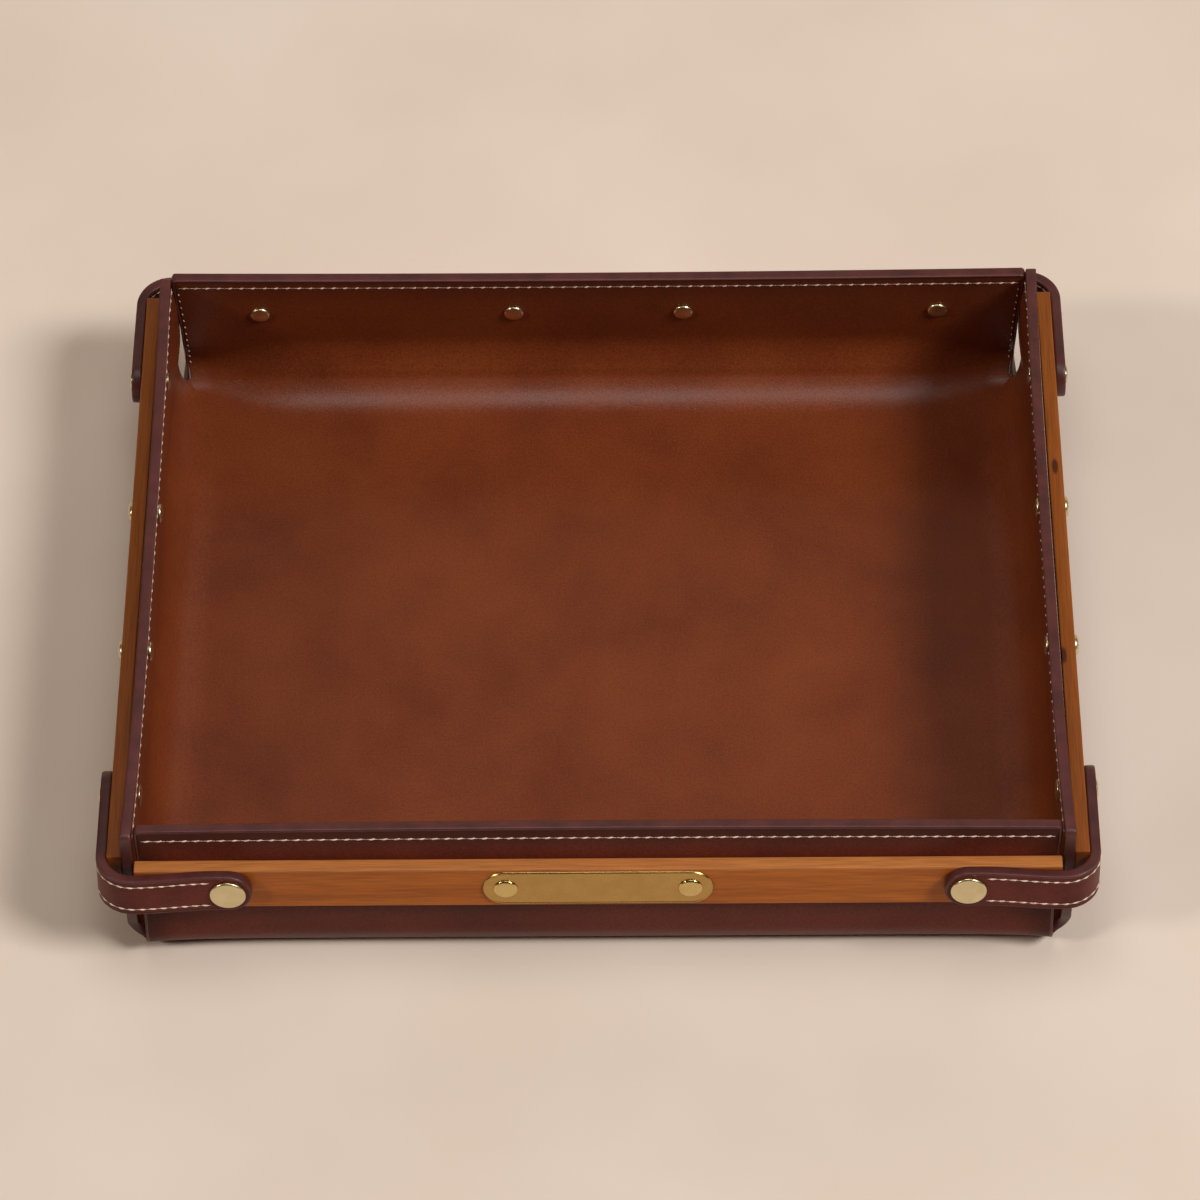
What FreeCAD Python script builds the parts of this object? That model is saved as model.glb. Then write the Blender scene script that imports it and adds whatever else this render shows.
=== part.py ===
import FreeCAD, Part
import math
import os
import Sketcher

# A leather valet tray: a lined leather box folded up from a cross-shaped blank, stiffened by
# four cherry rails, and held closed at its corners by straps that snap to the end rails.
# Millimetres. +Z is up, the front looks along -Y, and the origin is under the tray's middle.

SIZES = (
    ("front_wall_length", 381.0, "front and back walls at the rim, end to end"),
    ("tray_depth", 311.0, "outside of front wall to outside of back wall, at the rails' top"),
    ("side_wall_overhang", 0.5, "side walls past that outside, at each end"),
    ("tray_height", 78.0, "table to rim"),
    ("bend_radius", 16.0, "outside of the fold between floor and wall"),
    ("end_lean", 6.5, "degrees that the front and back walls lean inwards"),
    ("side_lean", 1.5, "degrees that the side walls lean inwards"),
    ("leather_thick", 2.2, "outer leather"),
    ("lining_thick", 2.2, "lining leather"),
    ("glue_gap", 0.1, "glue line between two plies"),
    ("corner_gap", 1.3, "end of an end wall to the inside of the side wall"),
    ("slit_root", 3.5, "diameter of the round hole that ends a corner slit"),
    ("rail_top", 61.2, "table to the top edge of the rails"),
    ("rail_thick", 6.35, "rails, through the wall"),
    ("rail_height", 22.2, "rails, up the wall"),
    ("rail_bevel", 0.5, "broken edge round a rail's outer face"),
    ("end_rail_overhang", 0.5, "front and back rails past each end of their wall"),
    ("side_rail_inset", 1.5, "left and right rails short of the end walls' outside, at each end"),
    ("middle_rivet_spacing", 76.2, "two rivets in the middle of each rail"),
    ("snap_inset", 38.6, "two snaps on each end rail, from its ends"),
    ("snap_rise", 2.0, "snaps above the middle of the rail"),
    ("strap_rivet_inset", 39.7, "two strap rivets on each side rail, from its ends"),
    ("shank_diameter", 3.6, "rivet shanks and stud posts"),
    ("shank_play", 0.1, "all round a shank in its hole"),
    ("rivet_diameter", 10.0, "heads of the rail rivets and of the caps inside"),
    ("rivet_thick", 1.1, "the same heads"),
    ("strap_rivet_diameter", 9.0, "heads of the strap rivets"),
    ("plate_thick", 0.8, "nameplate"),
    ("plate_height", 19.0, "nameplate, also the width of its round ends"),
    ("strap_height", 20.0, "strap, also the width of its round ends"),
    ("strap_ply", 2.1, "each of a strap's two plies"),
    ("strap_standoff", 0.3, "strap to the rails"),
    ("strap_droop", 2.5, "drop of the strap from its snap to the corner"),
    ("strap_bend", 9.0, "inside of a strap's bend round the corner"),
    ("flex_inset", 4.0, "line where a snapped end bends, short of the end rail's end"),
    ("flex_gap", 0.3, "split between the two stretches of a strap at that line"),
    ("cap_diameter", 15.0, "snap caps"),
    ("cap_thick", 1.3, "snap caps"),
    ("cap_post_diameter", 4.0, "post behind a snap cap"),
    ("socket_diameter", 12.0, "snap sockets"),
    ("socket_floor", 0.5, "snap sockets"),
    ("stud_diameter", 7.6, "snap studs"),
    ("stud_play", 0.35, "all round a stud in its socket"),
    ("overrun", 5.0, "how far a cutting shape runs past what it cuts"),
)

# Angles in degrees.
TURN = math.degrees(math.tau)
QUARTER = TURN / 4
# Small round pieces repeat often, so each is drawn with this many sides.
HEAD_SIDES = 20
SHANK_SIDES = 6

doc = FreeCAD.newDocument("valet_tray")
dims = doc.addObject("Spreadsheet::Sheet", "dims")
for row, (alias, size, note) in enumerate(SIZES, start=1):
    dims.set(f"A{row}", note)
    dims.set(f"B{row}", str(size))
    dims.setAlias(f"B{row}", alias)
doc.recompute()

# Sizes that follow from the driving ones, as expressions.
WALL_THICK = "(dims.leather_thick + dims.glue_gap + dims.lining_thick)"
HALF_FRONT = "(dims.front_wall_length / 2)"
HALF_WIDTH = f"({HALF_FRONT} + dims.corner_gap + {WALL_THICK})"
HALF_DEPTH = "(dims.tray_depth / 2)"
HALF_SIDE_WALL = f"({HALF_DEPTH} + dims.side_wall_overhang)"
HALF_END_RAIL = f"({HALF_FRONT} + dims.end_rail_overhang)"
HALF_SIDE_RAIL = f"({HALF_DEPTH} - dims.side_rail_inset)"
STRAP_THICK = "(2 * dims.strap_ply + dims.glue_gap)"
OUTER_PLY_START = "(dims.strap_ply + dims.glue_gap)"
STRAP_OUT = "(dims.rail_thick + dims.strap_standoff)"
STRAP_FACE = f"({STRAP_OUT} + {STRAP_THICK})"
RAIL_MIDDLE = "(-dims.rail_height / 2)"
SNAP_LEVEL = f"({RAIL_MIDDLE} + dims.snap_rise)"
STRAP_CORNER = f"({SNAP_LEVEL} - dims.strap_droop)"
SHANK = "(dims.shank_diameter / 2)"
SHANK_HOLE = f"({SHANK} + dims.shank_play)"
MIDDLE_RIVET = "(dims.middle_rivet_spacing / 2)"
SNAP = f"({HALF_END_RAIL} - dims.snap_inset)"
STRAP_RIVET = f"({HALF_SIDE_RAIL} - dims.strap_rivet_inset)"
INSIDE = f"(-{WALL_THICK})"
FLEX = f"({HALF_END_RAIL} - dims.flex_inset)"
ABOVE = "(dims.tray_height + dims.overrun)"


def value(expression):
    """The number that an expression comes to."""
    return float(dims.evalExpression(expression))


class Wall:
    """A wall's outer face, with places given along it, up it from the rails' top, and out of it."""

    def __init__(self, turn, half, lean):
        self.turn = turn
        self.half = half
        self.lean = lean
        self.sine = f"sin({lean} * 1 deg)"
        self.cosine = f"cos({lean} * 1 deg)"

    def reach(self, up, out):
        """How far a place lies from the tray's middle plane."""
        return f"({self.half} - {up} * {self.sine} + {out} * {self.cosine})"

    def height(self, up, out):
        """How high a place lies above the table."""
        return f"(dims.rail_top + {up} * {self.cosine} + {out} * {self.sine})"

    def fold(self):
        """Where the floor ends and the fold to this wall starts, from the middle plane."""
        rise = "(dims.rail_top - dims.bend_radius)"
        return f"({self.half} + {rise} * tan({self.lean} * 1 deg) - dims.bend_radius / {self.cosine})"

    def place(self, item, along="0", up="0", out="0"):
        """Set an item on the wall: its X runs along the wall, its Y up it and its Z out of it."""
        spot = f"vector({along}; -{self.reach(up, out)}; {self.height(up, out)})"
        item.setExpression(
            "Placement",
            f"placement(vector(0; 0; 0); rotation({self.turn}; 0; 0))"
            f" * placement({spot}; rotation(0; 0; {QUARTER} - {self.lean}))",
        )


FRONT = Wall(0, HALF_DEPTH, "dims.end_lean")
RIGHT = Wall(QUARTER, HALF_WIDTH, "dims.side_lean")
BACK = Wall(2 * QUARTER, HALF_DEPTH, "dims.end_lean")
LEFT = Wall(-QUARTER, HALF_WIDTH, "dims.side_lean")


# Drawing

def new_object(kind, label):
    """Add an object to the document under its own label."""
    item = doc.addObject(kind, label)
    item.Label = label
    return item


def bind(sketch, kind, geometry, point, expression):
    """Tie one coordinate of a sketch point to an expression, measured from the origin."""
    number = sketch.addConstraint(Sketcher.Constraint(kind, -1, 1, geometry, point, value(expression)))
    sketch.setExpression(f"Constraints[{number}]", expression)


def outline(sketch, spots):
    """Draw a closed outline, counter-clockwise through spots (x, y).

    A spot with a third expression starts an arc whose centre has that x.
    """
    points = [FreeCAD.Vector(value(spot[0]), value(spot[1]), 0) for spot in spots]
    first = sketch.GeometryCount
    for index, spot in enumerate(spots):
        start = points[index]
        end = points[(index + 1) % len(points)]
        if len(spot) == 2:
            sketch.addGeometry(Part.LineSegment(start, end))
            continue
        middle = value(spot[2])
        square = (end.x - middle) ** 2 - (start.x - middle) ** 2 + end.y ** 2 - start.y ** 2
        centre = FreeCAD.Vector(middle, square / (2 * (end.y - start.y)), 0)
        turns = [math.atan2(point.y - centre.y, point.x - centre.x) for point in (start, end)]
        if turns[1] < turns[0]:
            turns[1] += math.tau
        circle = Part.Circle(centre, FreeCAD.Vector(0, 0, 1), start.distanceToPoint(centre))
        sketch.addGeometry(Part.ArcOfCircle(circle, *turns))
    for index, spot in enumerate(spots):
        side = first + index
        following = first + (index + 1) % len(spots)
        sketch.addConstraint(Sketcher.Constraint("Coincident", side, 2, following, 1))
        bind(sketch, "DistanceX", side, 1, spot[0])
        bind(sketch, "DistanceY", side, 1, spot[1])
        if len(spot) == 3:
            bind(sketch, "DistanceX", side, 3, spot[2])


def hole(sketch, x, radius, sides):
    """Draw a many-sided hole at a place along the sketch's X axis."""
    outline(sketch, [
        (f"({x} + {radius} * cos({TURN} * {side} / {sides} * 1 deg))",
         f"({radius} * sin({TURN} * {side} / {sides} * 1 deg))")
        for side in range(sides)
    ])


def body_sketch(label, role):
    """A body with an empty sketch on one of its own planes."""
    body = new_object("PartDesign::Body", label)
    sketch = body.newObject("Sketcher::SketchObject", f"{label}_outline")
    plane = next(part for part in body.Origin.OriginFeatures if part.Role == role)
    sketch.AttachmentSupport = (plane, [""])
    sketch.MapMode = "FlatFace"
    return body, sketch


def free_sketch(label, spots, placement):
    """A closed outline on a plane of its own."""
    sketch = new_object("Sketcher::SketchObject", label)
    outline(sketch, spots)
    sketch.setExpression("Placement", placement)
    return sketch


# Making

def plate(label, spots, thick, holes=(), bevel=None):
    """A flat piece: an outline with holes, padded outwards, its outer edges broken by a bevel."""
    body, sketch = body_sketch(label, "XY_Plane")
    outline(sketch, spots)
    for spot in holes:
        hole(sketch, *spot)
    pad = body.newObject("PartDesign::Pad", f"{label}_pad")
    pad.Profile = sketch
    pad.setExpression("Length", thick)
    if bevel:
        doc.recompute()
        faces = pad.Shape.Faces
        outer = max(range(len(faces)), key=lambda index: faces[index].CenterOfMass.z)
        edge = body.newObject("PartDesign::Chamfer", f"{label}_bevel")
        edge.Base = (pad, [f"Face{outer + 1}"])
        edge.setExpression("Size", bevel)
    return body


def mirrored(item, normal, label):
    """The same piece on the other side of the tray's middle plane."""
    twin = new_object("Part::Mirroring", label)
    twin.Source = item
    twin.Normal = FreeCAD.Vector(*normal)
    return twin


LEFT_RIGHT = (1, 0, 0)
FRONT_BACK = (0, 1, 0)


def group(label, items):
    """Several solids under one label."""
    bundle = new_object("Part::Compound", label)
    bundle.Links = items
    return bundle


def joined(kind, label, base, tool):
    """A boolean of two objects."""
    result = new_object(kind, label)
    result.Base = base
    result.Tool = tool
    result.Refine = kind != "Part::Common"
    return result


def prism(label, spots, placement, length, symmetric):
    """An outline extruded square to its plane."""
    block = new_object("Part::Extrusion", label)
    block.Base = free_sketch(f"{label}_outline", spots, placement)
    block.DirMode = "Normal"
    block.Solid = True
    block.Symmetric = symmetric
    block.setExpression("LengthFwd", length)
    return block


def stem(label, wall, spot, radius, start, end, sides):
    """A many-sided block square to a wall, between two places out of it."""
    block = new_object("Part::Prism", label)
    block.Polygon = sides
    block.setExpression("Circumradius", radius)
    block.setExpression("Height", f"({end}) - ({start})")
    wall.place(block, *spot, start)
    return block


# Leather box

ALONG_X = f"placement(vector(0; 0; 0); rotation({QUARTER}; 0; {QUARTER}))"
ALONG_Y = f"placement(vector(0; 0; 0); rotation(0; 0; {QUARTER}))"
UPRIGHT = "placement(vector(0; 0; -dims.overrun); rotation(0; 0; 0))"


def trough(label, wall, inset, top, placement, length):
    """What lies within a pair of opposite walls: floor, two folds and two leaning sides."""
    fold = wall.fold()
    radius = f"(dims.bend_radius - {inset})"
    bend_end = f"({fold} + {radius} * {wall.cosine})"
    bend_top = f"(dims.bend_radius + {radius} * {wall.sine})"
    rim = f"({bend_end} - ({top} - {bend_top}) * tan({wall.lean} * 1 deg))"
    spots = [
        (f"-{fold}", inset),
        (fold, inset, fold),
        (bend_end, bend_top),
        (rim, top),
        (f"-{rim}", top),
        (f"-{bend_end}", bend_top, f"-{fold}"),
    ]
    return prism(label, spots, placement, length, True)


def four_corners(spots):
    """A quarter outline in the +X +Y quarter, carried round all four, counter-clockwise."""
    back = list(reversed(spots))
    return (
        spots
        + [(f"-{x}", y) for x, y in back]
        + [(f"-{x}", f"-{y}") for x, y in spots]
        + [(x, f"-{y}") for x, y in back]
    )


FOLD_X = RIGHT.fold()
FOLD_Y = FRONT.fold()
NOTCH_Y = f"({FOLD_Y} + {HALF_FRONT} - {FOLD_X})"
FULL_HEIGHT = f"({ABOVE} + dims.overrun)"

# Seen from above, the folds meet on a diagonal, then a slit parts the walls.
end_zone = prism(
    "end_zone",
    four_corners([(FOLD_X, FOLD_Y), (HALF_FRONT, NOTCH_Y), (HALF_FRONT, "dims.tray_depth")]),
    UPRIGHT, FULL_HEIGHT, False,
)
side_zone = prism(
    "side_zone",
    four_corners([
        ("dims.front_wall_length", HALF_SIDE_WALL),
        (HALF_FRONT, HALF_SIDE_WALL),
        (HALF_FRONT, NOTCH_Y),
        (FOLD_X, FOLD_Y),
    ]),
    UPRIGHT, FULL_HEIGHT, False,
)


def slit_roots():
    """Round holes that end the four corner slits."""
    root = new_object("Part::Cylinder", "slit_root")
    root.setExpression("Radius", "dims.slit_root / 2")
    root.setExpression("Height", "dims.overrun + dims.bend_radius")
    root.setExpression(
        "Placement",
        f"placement(vector({HALF_FRONT}; -{NOTCH_Y}; -dims.overrun); rotation(0; 0; 0))",
    )
    front = group("slit_roots_front", [root, mirrored(root, LEFT_RIGHT, "slit_root_left")])
    return [front, mirrored(front, FRONT_BACK, "slit_roots_back")]


def both_sides(along, up):
    """The same place either side of a wall's middle."""
    return [(f"-{along}", up), (along, up)]


MIDDLE_SPOTS = both_sides(MIDDLE_RIVET, RAIL_MIDDLE)
RAISED_SPOTS = both_sides(MIDDLE_RIVET, SNAP_LEVEL)
SNAP_SPOTS = both_sides(SNAP, SNAP_LEVEL)
STRAP_SPOTS = both_sides(STRAP_RIVET, RAIL_MIDDLE)


def drills(label, wall, spots):
    """Shank holes through a wall and its rail."""
    start = f"({INSIDE} - dims.overrun)"
    end = "(dims.rail_thick + dims.overrun)"
    holes = [
        stem(f"{label}_{number}", wall, spot, SHANK_HOLE, start, end, SHANK_SIDES)
        for number, spot in enumerate(spots)
    ]
    return group(label, holes)


wall_drills = {
    "front": drills("front_drills", FRONT, MIDDLE_SPOTS + SNAP_SPOTS),
    "back": drills("back_drills", BACK, RAISED_SPOTS + SNAP_SPOTS),
    "left": drills("left_drills", LEFT, MIDDLE_SPOTS + STRAP_SPOTS),
    "right": drills("right_drills", RIGHT, MIDDLE_SPOTS + STRAP_SPOTS),
}
leather_holes = group("leather_holes", list(wall_drills.values()) + slit_roots())


def leather(label, outside, inside):
    """One ply of the box, between two insets from the outer surface."""
    bands = []
    for name, wall, placement, cutter in (
        ("end", FRONT, ALONG_X, end_zone),
        ("side", RIGHT, ALONG_Y, side_zone),
    ):
        length = "(2 * dims.front_wall_length)"
        skin = trough(f"{label}_{name}_skin", wall, outside, "dims.tray_height", placement, length)
        hollow = trough(f"{label}_{name}_hollow", wall, inside, ABOVE, placement, f"(2 * {length})")
        band = joined("Part::Cut", f"{label}_{name}_band", skin, hollow)
        bands.append(joined("Part::Common", f"{label}_{name}_walls", band, cutter))
    blank = joined("Part::Fuse", f"{label}_blank", *bands)
    return joined("Part::Cut", label, blank, leather_holes)


LINING_START = "(dims.leather_thick + dims.glue_gap)"
nodes = [
    leather("outer_leather", "0", "dims.leather_thick"),
    leather("lining_leather", LINING_START, WALL_THICK),
]


# Rails and nameplate

def rail(label, wall, half, cutter):
    """A rail on the outside of a wall, from its half length, drilled for its fasteners."""
    spots = [
        (f"-{half}", RAIL_MIDDLE),
        (half, RAIL_MIDDLE),
        (half, f"-{RAIL_MIDDLE}"),
        (f"-{half}", f"-{RAIL_MIDDLE}"),
    ]
    blank = plate(f"{label}_blank", spots, "dims.rail_thick", bevel="dims.rail_bevel")
    wall.place(blank, "0", RAIL_MIDDLE, "0")
    return joined("Part::Cut", label, blank, cutter)


for side, wall, half in (
    ("front", FRONT, HALF_END_RAIL),
    ("back", BACK, HALF_END_RAIL),
    ("left", LEFT, HALF_SIDE_RAIL),
    ("right", RIGHT, HALF_SIDE_RAIL),
):
    nodes.append(rail(f"{side}_rail", wall, half, wall_drills[side]))

PLATE_HALF = "(dims.plate_height / 2)"
nameplate = plate(
    "nameplate",
    [
        (f"-{MIDDLE_RIVET}", f"-{PLATE_HALF}"),
        (MIDDLE_RIVET, f"-{PLATE_HALF}", MIDDLE_RIVET),
        (MIDDLE_RIVET, PLATE_HALF),
        (f"-{MIDDLE_RIVET}", PLATE_HALF, f"-{MIDDLE_RIVET}"),
    ],
    "dims.plate_thick",
    [(f"-{MIDDLE_RIVET}", SHANK_HOLE, SHANK_SIDES), (MIDDLE_RIVET, SHANK_HOLE, SHANK_SIDES)],
)
FRONT.place(nameplate, "0", RAIL_MIDDLE, "dims.rail_thick")
nodes.append(nameplate)


# Rivets, caps, studs and posts

def fasteners(label, make, wall, spots):
    """Like fasteners at several places on a wall, as one node."""
    nodes.append(group(label, [make(f"{label}_{number}", wall, spot) for number, spot in enumerate(spots)]))


def rivet(seat, diameter):
    """A maker of rivets: a head on its seat, and a shank through to the inside of the wall."""
    def make(label, wall, spot):
        top = f"({seat} + dims.rivet_thick)"
        head = stem(f"{label}_head", wall, spot, f"({diameter} / 2)", seat, top, HEAD_SIDES)
        shank = stem(f"{label}_shank", wall, spot, SHANK, INSIDE, seat, SHANK_SIDES)
        return joined("Part::Fuse", label, head, shank)
    return make


def inner_head(label, wall, spot):
    """A head that closes a fastener inside the tray."""
    top = f"({INSIDE} - dims.rivet_thick)"
    return stem(label, wall, spot, "(dims.rivet_diameter / 2)", top, INSIDE, HEAD_SIDES)


def riveted(name, wall, spots, seat, diameter):
    """Rivets through a rail and its wall, with their caps inside."""
    fasteners(f"{name}_rivets", rivet(seat, diameter), wall, spots)
    fasteners(f"{name}_rivet_caps", inner_head, wall, spots)


PLATE_SEAT = "(dims.rail_thick + dims.plate_thick)"
riveted("front_plate", FRONT, MIDDLE_SPOTS, PLATE_SEAT, "dims.rivet_diameter")
riveted("back_rail", BACK, RAISED_SPOTS, "dims.rail_thick", "dims.rivet_diameter")
for side, wall in (("left", LEFT), ("right", RIGHT)):
    riveted(f"{side}_rail", wall, MIDDLE_SPOTS, "dims.rail_thick", "dims.rivet_diameter")
    riveted(f"{side}_strap", wall, STRAP_SPOTS, STRAP_FACE, "dims.strap_rivet_diameter")

STUD_TOP = f"({STRAP_OUT} + dims.strap_ply - dims.socket_floor - dims.stud_play)"


def stud(label, wall, spot):
    """A snap stud that stands out of an end rail."""
    return stem(label, wall, spot, "(dims.stud_diameter / 2)", "dims.rail_thick", STUD_TOP, HEAD_SIDES)


def stud_post(label, wall, spot):
    """The post that holds a stud, with its head inside the tray."""
    head = inner_head(f"{label}_head", wall, spot)
    shank = stem(f"{label}_shank", wall, spot, SHANK, INSIDE, "dims.rail_thick", SHANK_SIDES)
    return joined("Part::Fuse", label, head, shank)


for side, wall in (("front", FRONT), ("back", BACK)):
    fasteners(f"{side}_snap_studs", stud, wall, SNAP_SPOTS)
    fasteners(f"{side}_stud_posts", stud_post, wall, SNAP_SPOTS)


# Corner straps, drawn at the front right corner

STRAP_HALF = "(dims.strap_height / 2)"
# The bend is part of a cylinder that touches the strap's plane on the side rail and on the front
# rail. Its axis lies along both planes, so it leans from the up line of each by these angles.
SIDE_SLANT = f"atan({RIGHT.cosine} * tan({FRONT.lean} * 1 deg))"
FRONT_SLANT = f"atan({FRONT.cosine} * tan({RIGHT.lean} * 1 deg))"
BEND_ANGLE = f"acos({RIGHT.sine} * {FRONT.sine})"
# A point of that axis, level with the middle of the strap at the flex line.
AXIS_LEVEL = FRONT.height(STRAP_CORNER, STRAP_OUT)


def axis_reach(wall):
    """How far that point lies from the tray's middle plane, inside a wall's strap plane."""
    rise = f"({AXIS_LEVEL} - {wall.height('0', STRAP_OUT)})"
    return f"({wall.reach('0', STRAP_OUT)} - ({rise} * {wall.sine} + dims.strap_bend) / {wall.cosine})"


def bend_level(wall):
    """How far up a wall the middle of the bend's edge lies."""
    rise = f"({AXIS_LEVEL} - {wall.height('0', STRAP_OUT)} + dims.strap_bend * {wall.sine})"
    return f"({rise} / {wall.cosine})"


AXIS_X = axis_reach(RIGHT)
AXIS_Y = axis_reach(FRONT)
SIDE_LEVEL = bend_level(RIGHT)
FRONT_LEVEL = bend_level(FRONT)


def slanted(along, up, slant, half):
    """A point of a slanted line through a place on a wall, half a strap above or below it."""
    return f"({along} + {half} * sin({slant}))", f"({up} + {half} * cos({slant}))"


def side_stretch(label, start):
    """A ply's stretch on the side rail: a round riveted end, then straight to the bend."""
    level = f"({SIDE_LEVEL} - {RAIL_MIDDLE})"
    stretch = plate(
        label,
        [
            slanted(f"-{AXIS_Y}", level, SIDE_SLANT, f"(-{STRAP_HALF})"),
            (f"-{STRAP_RIVET}", f"-{STRAP_HALF}", f"-{STRAP_RIVET}"),
            (f"-{STRAP_RIVET}", STRAP_HALF),
            slanted(f"-{AXIS_Y}", level, SIDE_SLANT, STRAP_HALF),
        ],
        "dims.strap_ply",
        [(f"-{STRAP_RIVET}", SHANK_HOLE, SHANK_SIDES)],
    )
    RIGHT.place(stretch, "0", RAIL_MIDDLE, f"({STRAP_OUT} + {start})")
    return stretch


def corner_bend(label, start):
    """A ply's bend: its cross-section turned about the axis, from the side rail to the front rail."""
    near = f"(dims.strap_bend + {start})"
    far = f"({near} + dims.strap_ply)"
    section = free_sketch(
        f"{label}_section",
        [(near, f"-{STRAP_HALF}"), (far, f"-{STRAP_HALF}"), (far, STRAP_HALF), (near, STRAP_HALF)],
        f"placement(vector({AXIS_X}; -{AXIS_Y}; {AXIS_LEVEL});"
        f" rotation(0; -{RIGHT.lean}; {QUARTER} - {SIDE_SLANT} / 1 deg))",
    )
    bend = new_object("Part::Revolution", label)
    bend.Source = section
    bend.Solid = True
    bend.setExpression("Angle", BEND_ANGLE)
    for axis, place, share in (
        ("x", AXIS_X, f"{RIGHT.sine} * {FRONT.cosine}"),
        ("y", f"-{AXIS_Y}", f"-{RIGHT.cosine} * {FRONT.sine}"),
        ("z", AXIS_LEVEL, f"-{RIGHT.cosine} * {FRONT.cosine}"),
    ):
        bend.setExpression(f"Base.{axis}", place)
        bend.setExpression(f"Axis.{axis}", share)
    return bend


def front_stretch(label, start):
    """A ply's short stretch on the front rail, from the bend to the flex line."""
    edge = f"({FLEX} + dims.flex_gap / 2)"
    stretch = plate(
        label,
        [
            (edge, f"(-{STRAP_HALF} - dims.strap_droop)"),
            slanted(AXIS_X, f"({FRONT_LEVEL} - {SNAP_LEVEL})", f"-{FRONT_SLANT}", f"(-{STRAP_HALF})"),
            slanted(AXIS_X, f"({FRONT_LEVEL} - {SNAP_LEVEL})", f"-{FRONT_SLANT}", STRAP_HALF),
            (edge, f"({STRAP_HALF} - dims.strap_droop)"),
        ],
        "dims.strap_ply",
    )
    FRONT.place(stretch, "0", SNAP_LEVEL, f"({STRAP_OUT} + {start})")
    return stretch


def strap_ply(label, start):
    """A ply of a strap's fixed stretch: riveted end, corner and start of the front."""
    ply = new_object("Part::MultiFuse", label)
    ply.Shapes = [
        side_stretch(f"{label}_side", start),
        corner_bend(f"{label}_bend", start),
        front_stretch(f"{label}_front", start),
    ]
    ply.Refine = True
    return ply


def tab_ply(label, start, bore, sides):
    """A ply of a strap's snapped end, from the flex line to its round end, with a hole for the snap."""
    edge = f"({FLEX} - dims.flex_gap / 2)"
    tab = plate(
        label,
        [
            (edge, f"(-{STRAP_HALF} - dims.strap_droop)"),
            (edge, f"({STRAP_HALF} - dims.strap_droop)"),
            (SNAP, STRAP_HALF, SNAP),
            (SNAP, f"-{STRAP_HALF}"),
        ],
        "dims.strap_ply",
        [(SNAP, bore, sides)],
    )
    FRONT.place(tab, "0", SNAP_LEVEL, f"({STRAP_OUT} + {start})")
    return tab


SNAP_SPOT = (SNAP, SNAP_LEVEL)
SOCKET_BACK = f"({STRAP_OUT} + dims.strap_ply)"
CAP_POST = "(dims.cap_post_diameter / 2)"
POST_BORE = f"({CAP_POST} + dims.shank_play)"
SOCKET = "(dims.socket_diameter / 2)"
SOCKET_BORE = f"({SOCKET} + dims.shank_play)"


def snap_cap(label):
    """A flat cap, whose post goes through the outer ply to the socket."""
    button = new_object("Part::Cylinder", f"{label}_button")
    button.setExpression("Radius", "dims.cap_diameter / 2")
    button.setExpression("Height", "dims.cap_thick")
    FRONT.place(button, *SNAP_SPOT, STRAP_FACE)
    post = stem(f"{label}_post", FRONT, SNAP_SPOT, CAP_POST, SOCKET_BACK, STRAP_FACE, SHANK_SIDES)
    return joined("Part::Fuse", label, button, post)


def snap_socket(label):
    """A cup, sunk in the strap lining, that closes over the stud."""
    cavity = "(dims.stud_diameter / 2 + dims.stud_play)"
    floor = f"({SOCKET_BACK} - dims.socket_floor)"
    below = f"({STRAP_OUT} - dims.overrun)"
    cup = stem(f"{label}_cup", FRONT, SNAP_SPOT, SOCKET, STRAP_OUT, SOCKET_BACK, HEAD_SIDES)
    hollow = stem(f"{label}_hollow", FRONT, SNAP_SPOT, cavity, below, floor, HEAD_SIDES)
    return joined("Part::Cut", label, cup, hollow)


corner_pieces = [
    ("strap_outer", strap_ply("front_right_strap_outer", OUTER_PLY_START)),
    ("strap_lining", strap_ply("front_right_strap_lining", "0")),
    ("tab_outer", tab_ply("front_right_tab_outer", OUTER_PLY_START, POST_BORE, SHANK_SIDES)),
    ("tab_lining", tab_ply("front_right_tab_lining", "0", SOCKET_BORE, HEAD_SIDES)),
    ("snap_cap", snap_cap("front_right_snap_cap")),
    ("snap_socket", snap_socket("front_right_snap_socket")),
]
for name, item in corner_pieces:
    nodes.append(item)
    nodes.append(mirrored(item, LEFT_RIGHT, f"front_left_{name}"))
    back = mirrored(item, FRONT_BACK, f"back_right_{name}")
    nodes.append(back)
    nodes.append(mirrored(back, LEFT_RIGHT, f"back_left_{name}"))


# Check and write

doc.recompute()
for item in doc.Objects:
    if {"Invalid", "Error"} & set(item.State):
        raise RuntimeError(f"{item.Label} failed: {item.State}")
for node in nodes:
    if node.Shape.isNull() or not node.Shape.isValid():
        raise RuntimeError(f"{node.Label} has no valid shape")
os.makedirs("parts", exist_ok=True)
for node in nodes:
    node.Shape.exportStep(os.path.join("parts", f"{node.Label}.step"))
    print(f"{node.Label}: {len(node.Shape.Solids)} solids, {node.Shape.Volume:.1f} mm3")
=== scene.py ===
import logging
import math
from collections.abc import Sequence
from dataclasses import dataclass, field
from enum import Enum

import bmesh
import bpy
import numpy as np
from mathutils import Matrix, Vector


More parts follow.
